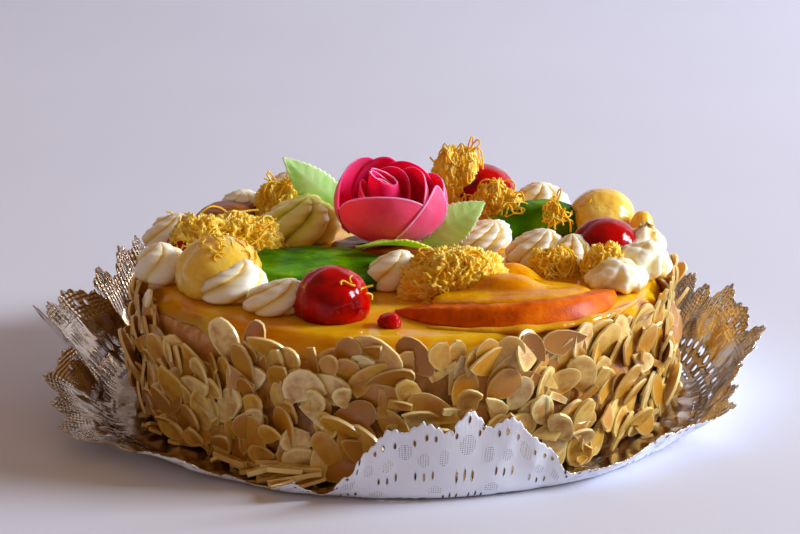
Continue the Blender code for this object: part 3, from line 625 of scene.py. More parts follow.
PAPAYA = gel(
    "candied papaya", [(0.3, "#B84600"), (0.5, "#D86200"), (0.75, "#EC8000")], 0.5, 0.003, (1.0, 0.3, 0.02),
    wave=0.9, relief=0.3, wet=0.15, dry=0.45, shine=0.05, patch=0.14,
)
QUINCE = gel(
    "candied quince", [(0.3, "#7A3C02"), (0.6, "#9C5A04"), (0.8, "#B47408")], 0.5, 0.004, (1.0, 0.35, 0.06),
    wave=0.4, relief=0.4, wet=0.35, dry=0.3, shine=0.05,
)
GREEN_PEAR = gel(
    "candied green pear", [(0.3, "#234600"), (0.48, "#3F7800"), (0.62, "#5E9600"), (0.78, "#9AB408")],
    0.5, 0.006, (0.6, 1.0, 0.03), wave=0.35, relief=0.7, wet=0.25, dry=0.25, shine=0.0, patch=0.06,
)
CREAM = whipped_cream(
    "piped cream", [(0.0, "#FFFBEC"), (0.18, "#FCF2CC"), (0.42, "#F0D47C"), (0.8, "#DCB040")], 0.2
)
# The swirl behind the left pear slice lies under yolk glaze, which turns it olive yellow.
GLAZED_CREAM = whipped_cream(
    "piped cream under glaze", [(0.0, "#F6F6A6"), (0.2, "#E8EA6C"), (0.5, "#C6C82A"), (0.9, "#9E9E10")], 0.5
)
THREADS = egg_thread()
# The inner and outer faces are the same wafer; the outer face's paler pink is painted sheen.
PINK_INSIDE = wafer("pink wafer inside", "#F0005A", "#FC1470", "#FA94C0", 0.92, (1.0, 0.3, 0.5))
PINK_OUTSIDE_PAINTED_SHEEN = wafer("pink wafer outside", "#FC3C6C", "#FF5C8C", "#FFB4D2", 0.92, (1.0, 0.4, 0.5))
GREEN_WAFER = wafer("green wafer", "#B0F48C", "#C8FAA8", "#E4FFD0", 0.7, (0.6, 1.0, 0.5))
BRIGHT_WAFER = wafer("bright green wafer", "#92CC10", "#A8DC20", "#C0E850", 0.9, (0.6, 1.0, 0.3))
# The foil's gold-brown tint is painted reflection of the cake that the silver foil mirrors.
FOIL_FACE = lace("silver foil", 1.0, ("#C0A888", "#E8DCC8"), 0.18, 1.6, 0.0006)
PAPER_FACE = lace("doily paper", 0.0, ("#E8F0FF", "#F0F5FF"), 0.6, 0.3, 0.0003)
# The finish of each slice and its slot.
SLICE_FINISHES = {
    "slice_front": (PAPAYA, "candied_papaya"),
    "slice_back_left": (QUINCE, "candied_papaya"),
    "green_slice_back": (GREEN_PEAR, "candied_green_pear"),
    "slice_centre": (QUINCE, "candied_papaya"),
    "green_slice_left": (GREEN_PEAR, "candied_green_pear"),
}


# The doily


def around(azimuth, column):
    """A value of the border table at an azimuth, eased between its rows."""
    azimuth %= 360
    last = BORDER[-1]
    rows = [(last[0] - 360, *last[1:]), *BORDER, (BORDER[0][0] + 360, *BORDER[0][1:])]
    return eased([(row[0], row[column]) for row in rows], azimuth)


def across_sector(azimuth):
    """0 at the middle of a lace repeat and 1 at its boundary."""
    return abs((azimuth * DOILY_SECTORS / 360 + 0.5) % 1 - 0.5) * 2


def lace_edge(azimuth):
    """How far the cut edge reaches, from 0 to 1: pointed lobes with small round scallops along them."""
    across = across_sector(azimuth)
    point = max(0.0, 1 - across / 0.3) ** 0.75
    shoulder = max(0.0, 1 - abs(across - 0.7) / 0.3) ** 0.75
    scallop = abs(math.sin(math.radians(azimuth * DOILY_SECTORS * 7.5)))
    return SHORTEST_LACE + 0.2 * max(point, 0.55 * shoulder) + 0.04 * scallop


def doily_point(azimuth, out):
    """The sheet's middle surface. out runs from 0 at the flat's edge to 1 at the lace's longest points."""
    rise, length = around(azimuth, 1), around(azimuth, 2)
    along = out * length
    share_risen = 0.5 * along / BEND if along < BEND else 1 - 0.5 * BEND / along
    rise_here = math.radians(rise * share_risen)
    crease = noise.noise(Vector((*polar(2.6, azimuth).xy, along * 0.03)))
    fold = abs(noise.noise(Vector((*polar(7.5, azimuth).xy, along * 0.02)))) * 2.4 * out
    radius = FLAT_RADIUS + along * math.cos(rise_here) + crease * 3.0 * out - fold * math.sin(rise_here)
    height = FOIL / 2 + along * math.sin(rise_here) + abs(crease) * 2.0 * out + fold * math.cos(rise_here)
    spot = polar(radius, azimuth + crease * 2.0 * out, height)
    crumple = rough(spot, 9.0, 2) * 0.5 * min(1.0, along / 8)
    return spot + Vector((0, 0, crumple))


def doily():
    """The creased sheet of foil backed paper, with its foil up."""
    columns = DOILY_SECTORS * COLUMNS_PER_SECTOR
    azimuths = [360 * i / columns for i in range(columns)]
    across = [across_sector(azimuth) * HALF_SECTOR for azimuth in azimuths]
    radii = (2, 60, 100, FLAT_RADIUS)
    rows = [[polar(radius, azimuth, FOIL / 2) for azimuth in azimuths] for radius in radii]
    uv = [(place, -50.0) for _ in rows for place in across]  # far from every cut
    for step in range(1, BORDER_ROWS + 1):
        out = step / BORDER_ROWS
        row = []
        for azimuth, place in zip(azimuths, across):
            # The pattern keeps its scale in most rows, and the last ones stretch out into the lobes.
            held = out * SHORTEST_LACE
            if out >= UNSTRETCHED:
                start = UNSTRETCHED * SHORTEST_LACE
                held = start + (lace_edge(azimuth) - start) * (out - UNSTRETCHED) / (1 - UNSTRETCHED)
            row.append(doily_point(azimuth, held))
            uv.append((place, held * LACE_DEPTH))
        rows.append(row)
    points, faces = sheet(rows, wraps=True)
    faces = [tuple(reversed(face)) for face in faces]
    faces.append(tuple(range(columns)))
    has_eyes = [float(azimuth < 60 or 160 < azimuth < 215 or azimuth > 325) for azimuth in azimuths]
    fields = {"eyes": has_eyes * len(rows)}
    made = made_object("lace_doily", points, faces, [FOIL_FACE, PAPER_FACE], uv=uv, fields=fields)
    thick(made, FOIL, other_side=1)
    dress(made, "silver_foil", "doily")


# The cake


def side_radius(height):
    """Radius of the cream coated side, which bellies out a little and rounds over at the rim."""
    belly = CAKE_RADIUS + BELLY * math.sin(math.pi * height / CAKE_TOP)
    over = max(0.0, height - (CAKE_TOP - RIM_ROUNDING))
    return belly - RIM_ROUNDING + math.sqrt(max(0.0, RIM_ROUNDING**2 - over**2))


def glaze_edge(azimuth):
    """Height to which the glaze ran down the side, in waves and small ripples."""
    turn = math.radians(azimuth)
    ripple = 0.6 * math.sin(17 * turn) + 0.4 * math.sin(31 * turn + 2)
    return GLAZE_EDGE + GLAZE_RUN * (0.6 * math.sin(5 * turn + 1) + 0.4 * math.sin(9 * turn)) + ripple


def coat():
    """The cream coat that shows between the almonds and as a bare band at the front left."""
    azimuths = [360 * i / 240 for i in range(240)]
    rings = [[polar(side_radius(1) - 1, azimuth, 0.9) for azimuth in azimuths]]
    for step in range(1, 25):
        height = 1 + (CAKE_TOP - 3) * step / 25
        ring = []
        for azimuth in azimuths:
            spot = polar(side_radius(height), azimuth, height)
            ring.append(spot + spot.normalized() * (rough(spot, 6) * 0.55 + rough(spot, 2.2, 2) * 0.45))
        rings.append(ring)
    rings.append([polar(CAKE_RADIUS - RIM_ROUNDING, azimuth, CAKE_TOP) for azimuth in azimuths])
    made = made_object("buttercream_coat", *skin(rings), [COAT])
    dress(face_out(made), "almond", "almond_cake")


def glaze():
    """The yolk glaze: a wavy pool on top that thins to its edge just over the rim."""
    steps = 300
    azimuths = [360 * i / steps for i in range(steps)]
    rings = [[polar(CAKE_RADIUS - RIM_ROUNDING, azimuth, CAKE_TOP + 0.2) for azimuth in azimuths]]
    for above_edge, proud in ((0.0, -0.5), (0.8, 0.25), (2.0, 0.8)):
        heights = [glaze_edge(azimuth) + above_edge for azimuth in azimuths]
        rings.append([polar(side_radius(h) + proud, a, h) for a, h in zip(azimuths, heights)])
    for share, over in ((0.25, 1.3), (0.55, 2.0), (0.8, 2.2)):
        ring = []
        for azimuth in azimuths:
            low = glaze_edge(azimuth) + 2.0
            height = low + (GLAZE_TOP - 1.2 - low) * share
            side = side_radius(min(height - share * 1.5, CAKE_TOP - 0.3)) + over
            ring.append(polar(side, azimuth, height))
        rings.append(ring)
    radius = CAKE_RADIUS - RIM_ROUNDING + 2.6
    rings.append([polar(radius, azimuth, GLAZE_TOP - 0.5) for azimuth in azimuths])
    for share in (0.97, 0.93, 0.88, 0.82, 0.75, 0.67, 0.58, 0.48, 0.38, 0.28, 0.18, 0.08):
        height = GLAZE_TOP - 0.35 * (share > 0.95)
        rings.append([polar(radius * share, azimuth, height) for azimuth in azimuths])
    rings.append([Vector((0, 0, GLAZE_TOP))])
    for ring in rings[3:]:
        for point in ring:
            point += Vector((0, 0, rough(point, 22, 2) * 0.5 - 0.2))
    made = made_object("set_yolk_glaze", *skin(rings), [YOLK_GLAZE])
    dress(face_out(made), "yolk_glaze", "yolk_glaze")


def pool():
    """Glaze that set between the front slice and the toppings behind it, flush with the slice's top."""
    x, y, outer, width, first, last, thickness = CRESCENTS["slice_front"][:7]
    rings = [[Vector((0, 0, POOL_TOP))]]
    for k in range(1, 30):
        share = k / 29
        ring = []
        for i in range(180):
            azimuth = 2.0 * i
            along = ((azimuth - first) % 360) / (last - first)
            inside = max(0.0, math.sin(math.pi * along)) ** 0.7 if along < 1 else 0.0
            reach = 25 + (outer - width + 13 * inside - 25) * min(1.0, inside * 1.6)
            held = min(1.0, inside * 2.2)
            rim = (thickness * (0.1 + 0.9 * inside) + 0.5) * held - 1.5 * (1 - held)
            down = 1.2 * max(0.0, (share - 0.93) / 0.07) ** 2
            height = POOL_TOP + (rim - POOL_TOP) * min(1.0, share / 0.85) ** 1.6 - down
            spot = polar(reach * share, azimuth, height)
            spot.z += rough(spot + Vector((x, y, 0)), 13, 2) * 0.5 * (1 - share**4)
            # A round mound at the back, and a flatter one where the threads' syrup ran down in front.
            spot.z += 5.0 * math.exp(-((spot.x - 14) ** 2 / 90 + (spot.y - 4) ** 2 / 60))
            spot.z += 4.5 * math.exp(-((((spot.x - 7) / 11) ** 2 + ((spot.y + 26) / 9) ** 2) ** 2))
            ring.append(spot)
        rings.append(ring)
    rings.append([Vector((spot.x, spot.y, -2.0)) for spot in rings[-1]])
    rings.append([Vector((0, 0, -2.0))])
    made = made_object("glaze_pool", *skin(rings), [DEEP_GLAZE], (x, y, SYRUP_FOOT))
    dress(face_out(made), "yolk_glaze")


def fillet():
    """A bead of syrup along the foot of the front slice, fuller in places."""
    x, y, outer, _, first, last = CRESCENTS["slice_front"][:6]
    rings = []
    for i in range(101):
        azimuth = first + 20 + (last - first - 24) * i / 100
        beads = 1 + 0.3 * math.sin(i * 0.31) * math.sin(i * 0.13)
        swell = 1.5 * math.sin(math.pi * i / 100) ** 0.5 * beads + 0.05
        centre = polar(outer - 0.2, azimuth, 0.2)
        ring = []
        for k in range(12):
            turn = 2 * math.pi * k / 12
            ring.append(centre + polar(math.cos(turn) * swell * 1.2, azimuth, math.sin(turn) * swell))
        rings.append(ring)
    made = made_object("glaze_fillet", *skin(rings), [SYRUP], (x, y, SYRUP_FOOT))
    dress(face_out(made), "yolk_glaze")


def flake_shape(name, outline, bow):
    """One slice of almond with a crisp cut edge, of unit length and width. The edge field is 1 on its rim."""
    rings, edge = [], []
    for level, inset in ((-0.5, 0.75), (-0.5, 1.0), (0.5, 1.0), (0.5, 0.75)):
        bowed = bow * inset**2
        rings.append([Vector((x * inset, y * inset, level + bowed * (x * x + y * y))) for x, y in outline])
        edge.extend([1.0 if inset == 1.0 else 0.25] * len(outline))
    made = made_object(name, *skin(rings), [ALMOND], fields={"edge": edge})
    made.data.set_sharp_from_angle(angle=math.radians(50))
    for vertex in made.data.vertices:
        vertex.co /= MM
    return face_out(made)


def flake_outlines(draw):
    """Outlines of whole slices, slices snapped across, and sticks."""
    outlines = []
    for whole in WHOLE:
        outline = []
        for k in range(16):
            turn = 2 * math.pi * k / 16
            taper = 0.94 - 0.2 * math.cos(turn) - (0.1 + 0.09 * whole) * max(0.0, math.cos(turn)) ** 3
            wobble = 1 + draw.uniform(-0.025, 0.025)
            outline.append((0.5 * math.cos(turn) * wobble, 0.5 * math.sin(turn) * taper * wobble))
        outlines.append(outline)
    for _ in BROKEN:
        outline = []
        snap = draw.uniform(-0.05, 0.24)
        slant = draw.uniform(-0.6, 0.6)
        for k in range(15):
            turn = 2 * math.pi * k / 15
            x, y = 0.5 * math.cos(turn), 0.5 * math.sin(turn) * (1 - 0.2 * math.cos(turn))
            outline.append((min(x, snap + slant * y + draw.uniform(-0.02, 0.02)), y))
        outlines.append(outline)
    stick = [(-0.5, -0.42), (-0.2, -0.5), (0.2, -0.46), (0.5, -0.36)]
    stick += [(0.5, 0.4), (0.2, 0.48), (-0.2, 0.5), (-0.5, 0.4)]
    for _ in STICKS:
        outlines.append([(x, y + draw.uniform(-0.06, 0.06)) for x, y in stick])
    return outlines


def flake_shapes():
    """The slices' shapes, in a collection that isn't rendered."""
    draw = random.Random(SEED)
    shapes = bpy.data.collections.new("flake_shapes")
    for i, outline in enumerate(flake_outlines(draw)):
        most = 0.6 if i in STICKS else 2.8
        made = flake_shape(f"flake_{i:02d}", outline, draw.uniform(-most, most))
        bpy.context.scene.collection.objects.unlink(made)
        shapes.objects.link(made)
    return shapes


def pressed(azimuth, height, spin, lean, out, sway=0.0):
    """Place and turn of a flake on the side: its length up the side, turned by spin and leaning out."""
    spot = polar(side_radius(min(height, 43)) + out, azimuth, height)
    turn = Matrix.Rotation(math.radians(azimuth + sway), 3, "Z") @ Matrix.Rotation(math.radians(lean), 3, "Y")
    turn = turn @ Matrix.Rotation(math.radians(spin), 3, "X") @ Matrix.Rotation(math.radians(90), 3, "Y")
    return spot, turn.to_euler()


def coat_flakes(draw):
    """The slices pressed round the side in rows, each turned and leaning as it fell."""
    for row in range(FLAKE_ROWS):
        for i in range(FLAKES_PER_ROW):
            azimuth = (360 * (i + 0.5 * (row % 2) + draw.uniform(-0.45, 0.45)) / FLAKES_PER_ROW) % 360
            bare = BARE_COAT[0] < azimuth < BARE_COAT[1]
            highest = BARE_COAT[2] if bare else 50.5
            shape = draw.choice((*WHOLE, 0, 1, *BROKEN, *STICKS))
            length = draw.uniform(13, 20)
            width = draw.uniform(8.0, 11.5)
            over_rim = 0.72 if bare else 0.5
            if shape in STICKS:
                length, width = draw.uniform(8, 15), draw.uniform(2.2, 4.2)
                over_rim = 1.3
            elif shape in BROKEN:
                length, width = length * 0.9, width * 0.85
            spin = draw.uniform(-180, 180)
            upright = abs(math.cos(math.radians(spin)))
            reach = length / 2 * upright + width / 2 * (1 - upright)
            spot = 4 + (highest - 8) * (row + draw.uniform(-0.5, 0.5)) / (FLAKE_ROWS - 1)
            spot = min(max(spot, reach * 0.9 + 1.2), highest - reach * over_rim)
            lean = max(-24, min(34, draw.gauss(9, 13)))
            out = max(0.3, reach * abs(math.sin(math.radians(lean))) - 0.6) + draw.uniform(0, 2.6)
            if spot - reach < 6:
                out = min(out, 3.4)
            size = (length, width, FLAKE_THICKNESS * draw.uniform(0.8, 1.3))
            yield (*pressed(azimuth, spot, spin, lean, out, draw.uniform(-25, 25)), size, shape)


def flake_places():
    """Place, turn, size and shape of every slice of almond."""
    draw = random.Random(SEED)
    yield from coat_flakes(draw)
    for azimuth, height, length, width, spin in TALL_FLAKES:
        lean = 6 + draw.uniform(-5, 8)
        spot, turn = pressed(azimuth, height, spin, lean, 3.0, draw.uniform(-16, 16))
        yield spot, turn, (length, width, FLAKE_THICKNESS), draw.choice((0, 1, 2, 6, 8))
    for _ in range(SLIVERS):
        azimuth = draw.uniform(231, 252)
        spot = polar(draw.uniform(99, 107), azimuth, draw.uniform(1.6, 7.5))
        tilts = draw.uniform(-0.3, 0.3), draw.uniform(-0.22, 0.22)
        turn = Euler((*tilts, math.radians(azimuth + 90 + draw.gauss(8, 22))))
        size = (draw.uniform(12, 20), draw.uniform(2.0, 3.2), draw.uniform(1.3, 2.0))
        yield spot, turn, size, draw.choice(STICKS)
    for _ in range(CRUMBS):
        azimuth = draw.uniform(0, 360)
        spot = polar(draw.uniform(100.5, 104), azimuth, draw.uniform(1.6, 4.0))
        turn = Euler([draw.uniform(-0.7, 0.7), draw.uniform(-0.5, 0.5), draw.uniform(0, 6.3)])
        yield spot, turn, (draw.uniform(4, 9), draw.uniform(2.5, 4.5), 1.2), draw.choice((5, 7, 10, 11))


def new_tree(name, inputs, output):
    """An empty Geometry Nodes tree with named inputs, and the node that gives their values."""
    tree = bpy.data.node_groups.new(name, "GeometryNodeTree")
    for label, kind in inputs:
        tree.interface.new_socket(label, in_out="INPUT", socket_type=f"NodeSocket{kind}")
    tree.interface.new_socket(output, in_out="OUTPUT", socket_type="NodeSocketGeometry")
    return tree, add(tree, "NodeGroupInput").outputs


def tinted(tree, given, pieces, domain):
    """Gives each piece a random tint between 0 and 1."""
    chance = add(tree, "FunctionNodeRandomValue", {"Seed": given["Seed"]}, data_type="FLOAT")
    values = {"Geometry": pieces, "Name": "tint", "Value": chance.outputs[1]}
    return add(tree, "GeometryNodeStoreNamedAttribute", values, data_type="FLOAT", domain=domain)


def finished(tree, given, pieces):
    """Ends a tree in real geometry with its finish."""
    whole = add(tree, "GeometryNodeRealizeInstances", {0: pieces})
    done = add(tree, "GeometryNodeSetMaterial", {"Geometry": whole, "Material": given["Finish"]})
    add(tree, "NodeGroupOutput", {0: done})
    return tree


def scatter_tree():
    """Puts a shape on each point, by the point's own shape, turn and size."""
    inputs = (("Points", "Geometry"), ("Shapes", "Collection"), ("Finish", "Material"), ("Seed", "Int"))
    tree, given = new_tree("Scatter pieces", inputs, "Pieces")
    settings = {"Collection": given["Shapes"], "Separate Children": True, "Reset Children": True}
    shapes = add(tree, "GeometryNodeCollectionInfo", settings)
    which = add(tree, "GeometryNodeInputNamedAttribute", {"Name": "shape"}, data_type="INT")
    turn = add(tree, "GeometryNodeInputNamedAttribute", {"Name": "turn"}, data_type="FLOAT_VECTOR")
    size = add(tree, "GeometryNodeInputNamedAttribute", {"Name": "size"}, data_type="FLOAT_VECTOR")
    rotation = add(tree, "FunctionNodeEulerToRotation", {0: turn.outputs["Attribute"]})
    placed = add(
        tree,
        "GeometryNodeInstanceOnPoints",
        {
            "Points": given["Points"],
            "Instance": shapes,
            "Pick Instance": True,
            "Instance Index": which.outputs["Attribute"],
            "Rotation": rotation,
            "Scale": size.outputs["Attribute"],
        },
    )
    return finished(tree, given, tinted(tree, given, placed, "INSTANCE"))


def strand_tree():
    """Makes every chain of edges a round thread with closed ends."""
    inputs = (
        ("Paths", "Geometry"), ("Thread width", "Float"), ("Sides", "Int"), ("Finish", "Material"),
        ("Seed", "Int"),
    )
    tree, given = new_tree("Egg threads", inputs, "Threads")
    paths = add(tree, "GeometryNodeMeshToCurve", {0: given["Paths"]})
    half = add(tree, "ShaderNodeMath", {0: given["Thread width"], 1: 0.5}, operation="MULTIPLY")
    section = add(tree, "GeometryNodeCurvePrimitiveCircle", {"Resolution": given["Sides"], "Radius": half})
    shape = {"Curve": tinted(tree, given, paths, "CURVE"), "Profile Curve": section, "Fill Caps": True}
    return finished(tree, given, add(tree, "GeometryNodeCurveToMesh", shape))


def grow(made, tree, **values):
    """Runs a tree on a piece and keeps the result as a plain mesh. Values are by input name."""
    modifier = made.modifiers.new("nodes", "NODES")
    modifier.node_group = tree
    for item in tree.interface.items_tree:
        key = item.name.replace(" ", "_")
        if item.in_out == "INPUT" and key in values:
            modifier[item.identifier] = values[key]
    return plain(made)


def almonds(tree):
    """Every slice of almond, scattered as one piece."""
    rows = list(flake_places())
    made = made_object("sliced_almonds", [row[0] for row in rows], [], [ALMOND])
    turns = [angle for row in rows for angle in row[1]]
    sizes = [length * MM for row in rows for length in row[2]]
    made.data.attributes.new("turn", "FLOAT_VECTOR", "POINT").data.foreach_set("vector", turns)
    made.data.attributes.new("size", "FLOAT_VECTOR", "POINT").data.foreach_set("vector", sizes)
    made.data.attributes.new("shape", "INT", "POINT").data.foreach_set("value", [row[3] for row in rows])
    grow(made, tree, Shapes=flake_shapes(), Finish=ALMOND, Seed=SEED)
    made.data.shade_smooth()
    made.data.set_sharp_from_angle(angle=math.radians(40))
    dress(made, "almond")


# Fruit


def round_fruit(name, finish, slot, x, y, radius, height, girth, dents):
    """A candied fruit with its foot cut level: widest at its girth, dented, with a crease down one side."""
    steps, levels = 96, 48
    foot = -math.asin(min(0.9, girth / (height - girth)))
    rings = [[Vector((0, 0, 0))]]
    for level in range(levels):
        rise = foot + (math.pi / 2 - foot) * level / levels
        ring = []
        for i in range(steps):
            azimuth = 360 * i / steps
            flat = polar(math.cos(rise), azimuth, math.sin(rise))
            dent = rough(flat + Vector((x, y, 0)), 1.1, 3) * dents
            crease = 0.06 * math.exp(-(((azimuth - 205) / 14) ** 2)) * max(0.0, math.cos(rise))
            swell = 1 + dent / radius - crease
            up = max(0.0, girth + (height - girth) * flat.z * swell)
            ring.append(Vector((flat.x * radius * swell, flat.y * radius * swell, up)))
        rings.append(ring)
    rings.append([Vector((0, 0, height))])
    made = made_object(f"{name}_fruit", *skin(rings), [finish], (x, y, FRUIT_FOOT))
    dress(face_out(made), slot, name)


def crescent(name, finish, slot, x, y, outer, width, first, last, thickness, slant, sink, roundness):
    """A curved candied slice that narrows to both tips, with rounded edges and a fibrous skin."""
    steps, corners = 130, 36
    rings = []
    for i in range(steps + 1):
        share = i / steps
        fullness = max(0.05, math.sin(math.pi * min(max(share, 0.004), 0.996)) ** 0.7)
        azimuth = first + (last - first) * share
        ring = []
        for k in range(corners):
            turn = 2 * math.pi * k / corners
            across = math.copysign(abs(math.cos(turn)) ** roundness, math.cos(turn))
            up = 0.5 + 0.5 * math.copysign(abs(math.sin(turn)) ** roundness, math.sin(turn))
            across -= slant * 2 * up * max(0.0, across)
            spot = polar(outer - width / 2 + across * width / 2 * fullness, azimuth)
            spot.z = up * thickness * (0.1 + 0.9 * fullness) * (1 + sink * (0.35 - share))
            spot += Vector((0, 0, 1)) * rough(spot, 5, 3) * 0.35 * up
            ring.append(spot)
        rings.append(ring)
    made = made_object(f"{name}_fruit", *skin(rings), [finish], (x, y, FRUIT_FOOT))
    dress(face_out(made), slot, name)


def slab(name, finish, slot, x, y, half_length, half_width, thickness, spin):
    """A flat candied slice with an uneven outline and a slightly domed, dimpled top."""
    steps = 120
    rings = []
    profile = [(0.95, 0.0), (0.985, 0.15), (1.0, 0.45), (0.985, 0.7), (0.95, 0.84), (0.9, 0.91)]
    profile += [(0.9 * (1 - k / 16), 0.91 + 0.09 * k / 16) for k in range(1, 16)]
    for share, height in profile:
        ring = []
        for i in range(steps):
            turn = 2 * math.pi * i / steps
            uneven = share * (1 + 0.05 * math.sin(3 * turn + 1) + 0.03 * math.sin(5 * turn))
            ahead, across = half_length * uneven * math.cos(turn), half_width * uneven * math.sin(turn)
            spot = Vector((ahead, across, thickness * height))
            spot.z += rough(spot, 9, 3) * 0.5 * height
            ring.append(Matrix.Rotation(math.radians(spin), 3, "Z") @ spot)
        rings.append(ring)
    rings.append([Vector((0, 0, thickness))])
    made = made_object(f"{name}_fruit", *skin(rings), [finish], (x, y, FRUIT_FOOT))
    dress(face_out(made), slot, name)


# Cream


def swirl(radius, height, twist, lean_x, lean_y, ridges, seed):
    """Rings of a piped swirl, and how deep in a groove and how near its foot each point is."""
    profile = [(0.0, 0.8), (0.12, 0.96), (0.3, 1.0), (0.54, 0.9), (0.75, 0.68), (0.9, 0.38), (1.0, 0.05)]
    rings, groove, foot = [], [], []
    steps, levels = ridges * 16, 44
    for level in range(levels):
        up = level / levels
        ring = []
        for i in range(steps):
            azimuth = 360 * i / steps
            crest = abs(math.sin(math.radians(azimuth * ridges / 2))) ** 0.7
            depth = 0.3 * (0.6 + 0.4 * up)
            spread = radius * eased(profile, up) * (1 + depth * (crest - 0.72))
            point = polar(spread, azimuth + twist * up, height * up)
            point += Vector((lean_x, lean_y, 0)) * up * up
            point += point * rough(point + Vector((seed, 0, 0)), 9, 2) * 0.05
            ring.append(point)
            groove.append((1 - crest) ** 0.9)
            foot.append(max(0.0, 0.45 - up * 2.4))
        rings.append(ring)
    rings.append([Vector((lean_x, lean_y, height))])
    groove.append(0.0)
    foot.append(0.0)
    return rings, groove, foot


def piped(name, x, y, radius, height, twist, lean_x, lean_y, ridges):
    """One piped swirl."""
    rings, groove, foot = swirl(radius, height, twist, lean_x, lean_y, ridges, x)
    fields = {"groove": groove, "foot": foot}
    finish = GLAZED_CREAM if name == "cream_behind_slice" else CREAM
    made = made_object(f"{name}_piped", *skin(rings), [finish], (x, y, CREAM_FOOT), fields)
    dress(face_out(made), "whipped_cream", name)


def dollop():
    """The crumpled cream at the right rim: swirls run together and dragged by the nozzle."""
    lumps = []
    for x, y, radius, height, twist in DOLLOP:
        rings, _, _ = swirl(radius, height, twist, 1, 0, 6, x)
        lumps.append(face_out(made_object("lump", *skin(rings), [CREAM], (x, y, CREAM_FOOT))))
    made = joined("cream_dollop_piped", lumps, [CREAM])
    run_together = made.modifiers.new("run together", "REMESH")
    run_together.mode = "VOXEL"
    run_together.voxel_size = 0.7 * MM
    plain(made)
    groove, foot = [], []
    for vertex in made.data.vertices:
        spot = vertex.co / MM
        fold = 1 - abs(rough(Vector((spot.x, spot.y, spot.z * 0.6)), 8.5, 2))
        drag = rough(spot + Vector((40, 0, 0)), 4.0, 3)
        vertex.co += vertex.normal * (fold * 2.4 - 1.6 + drag * 0.4) * MM
        # The groove field carries the yellow of syrup and painted shade in the folds.
        groove.append(max(0.0, 1 - fold) * 1.2)
        foot.append(max(0.0, 0.5 - (spot.z - GLAZE_TOP) * 0.22))
    give_fields(made, {"groove": groove, "foot": foot})
    made.data.shade_smooth()
    dress(made, "whipped_cream", "cream_dollop")


# Egg threads


def lump(direction, size, seed, square=2.0):
    """The point of a lumpy dome in a direction of the unit sphere. A squareness over 2 gives it shoulders."""
    swell = 1 + 0.16 * noise.noise(direction * 1.9 + Vector((seed, 0, 0)))
    if square != 2.0:
        swell /= sum(abs(part) ** square for part in direction) ** (1 / square)
    return Vector((direction.x * size[0], direction.y * size[1], direction.z * size[2])) * swell


def wander(draw, size, seed, steps, stand, square=2.0, curliness=0.3, start=None):
    """A thread's path: it winds over the lump in even steps, and its middle or its end lifts off it."""
    direction = Vector(start) if start else polar(1.0, draw.uniform(0, 360), draw.uniform(0.02, 2.2))
    direction = (direction + Vector([draw.uniform(-0.2, 0.2) for _ in range(3)]) * bool(start)).normalized()
    direction.z = max(0.02, direction.z)
    heading = direction.orthogonal().normalized()
    heading.rotate(Matrix.Rotation(draw.uniform(0, 6.3), 3, direction))
    curl = draw.uniform(-0.5, 0.5)
    lift = max(0.0, draw.gauss(0.3, 0.6)) * stand
    lowest = draw.uniform(0.93, 1.02)
    end_up = draw.random() < 0.5
    path = []
    for k in range(steps):
        curl = curl * 0.8 + draw.gauss(0, curliness)
        heading.rotate(Matrix.Rotation(curl, 3, direction))
        stretched = Vector((heading.x * size[0], heading.y * size[1], heading.z * size[2])).length
        direction = (direction + heading * 0.95 / max(stretched, 3.0)).normalized()
        if direction.z < 0.02:
            direction.z = 0.02
            heading.z = abs(heading.z)
        heading = (heading - direction * heading.dot(direction)).normalized()
        share = k / (steps - 1)
        arch = share**3 if end_up else math.sin(math.pi * share)
        path.append(lump(direction, size, seed, square) * (lowest + lift * arch))
    return path


def thread_paths(name, paths, tree, place, seed):
    """One object with a thread along each path."""
    points, edges = [], []
    for path in paths:
        start = len(points)
        points.extend(path)
        edges.extend((start + k, start + k + 1) for k in range(len(path) - 1))
    made = made_object(name, points, [], [], place, edges=edges)
    grow(made, tree, Thread_width=THREAD * MM, Sides=6, Finish=THREADS, Seed=seed)
    made.data.shade_smooth()
    return made


def thread_heap(name, tree, x, y, half_length, half_width, height, count, stand, square):
    """A wet heap: a shaggy core under short threads half sunk in it, and longer ones that arch clear."""
    draw = random.Random(f"{SEED} {name}")
    size = (half_length * 0.95, half_width * 0.95, height * 0.95)
    rings, tint = [], []
    for level in range(88):
        rise = math.radians(90 * level / 88)
        ring = []
        for i in range(210):
            spot = lump(polar(math.cos(rise), 360 * i / 210, math.sin(rise)), size, x, square)
            clump = 1 - abs(rough(spot, 7.0, 2))
            curl = 1 - abs(rough(spot + Vector((9, 0, 0)), 3.0, 2))
            frizz = 1 - abs(rough(spot + Vector((0, 9, 0)), 1.3, 2))
            spot += spot.normalized() * (clump * 2.6 + curl**3 * 2.6 + frizz**2 * 1.1 - 3.6)
            spot.z = max(0.0, spot.z)
            ring.append(spot)
            # Painted shade: the core's tint is paler on its raised curls and deeper yellow in the hollows
            # between them.
            tint.append(min(1.0, max(0.0, curl**2 * 0.55 + frizz**2 * 0.35 + 0.2)))
        rings.append(ring)
    rings.append([lump(Vector((0, 0, 1)), size, x, square)])
    tint.append(0.5)
    place = (x, y, SYRUP_FOOT)
    core = made_object(f"{name}_core", *skin(rings), [THREADS], place, {"tint": tint})
    dress(face_out(core), "egg_thread", name)
    paths = [wander(draw, size, x, draw.randint(5, 14), stand, square) for _ in range(count)]
    for _ in range(LOOSE_THREADS):
        paths.append(wander(draw, size, x, draw.randint(16, 30), stand * 2, square, 0.12))
    strands = thread_paths(f"{name}_strands", paths, tree, place, draw.randint(1, 999))
    dress(strands, "egg_thread")


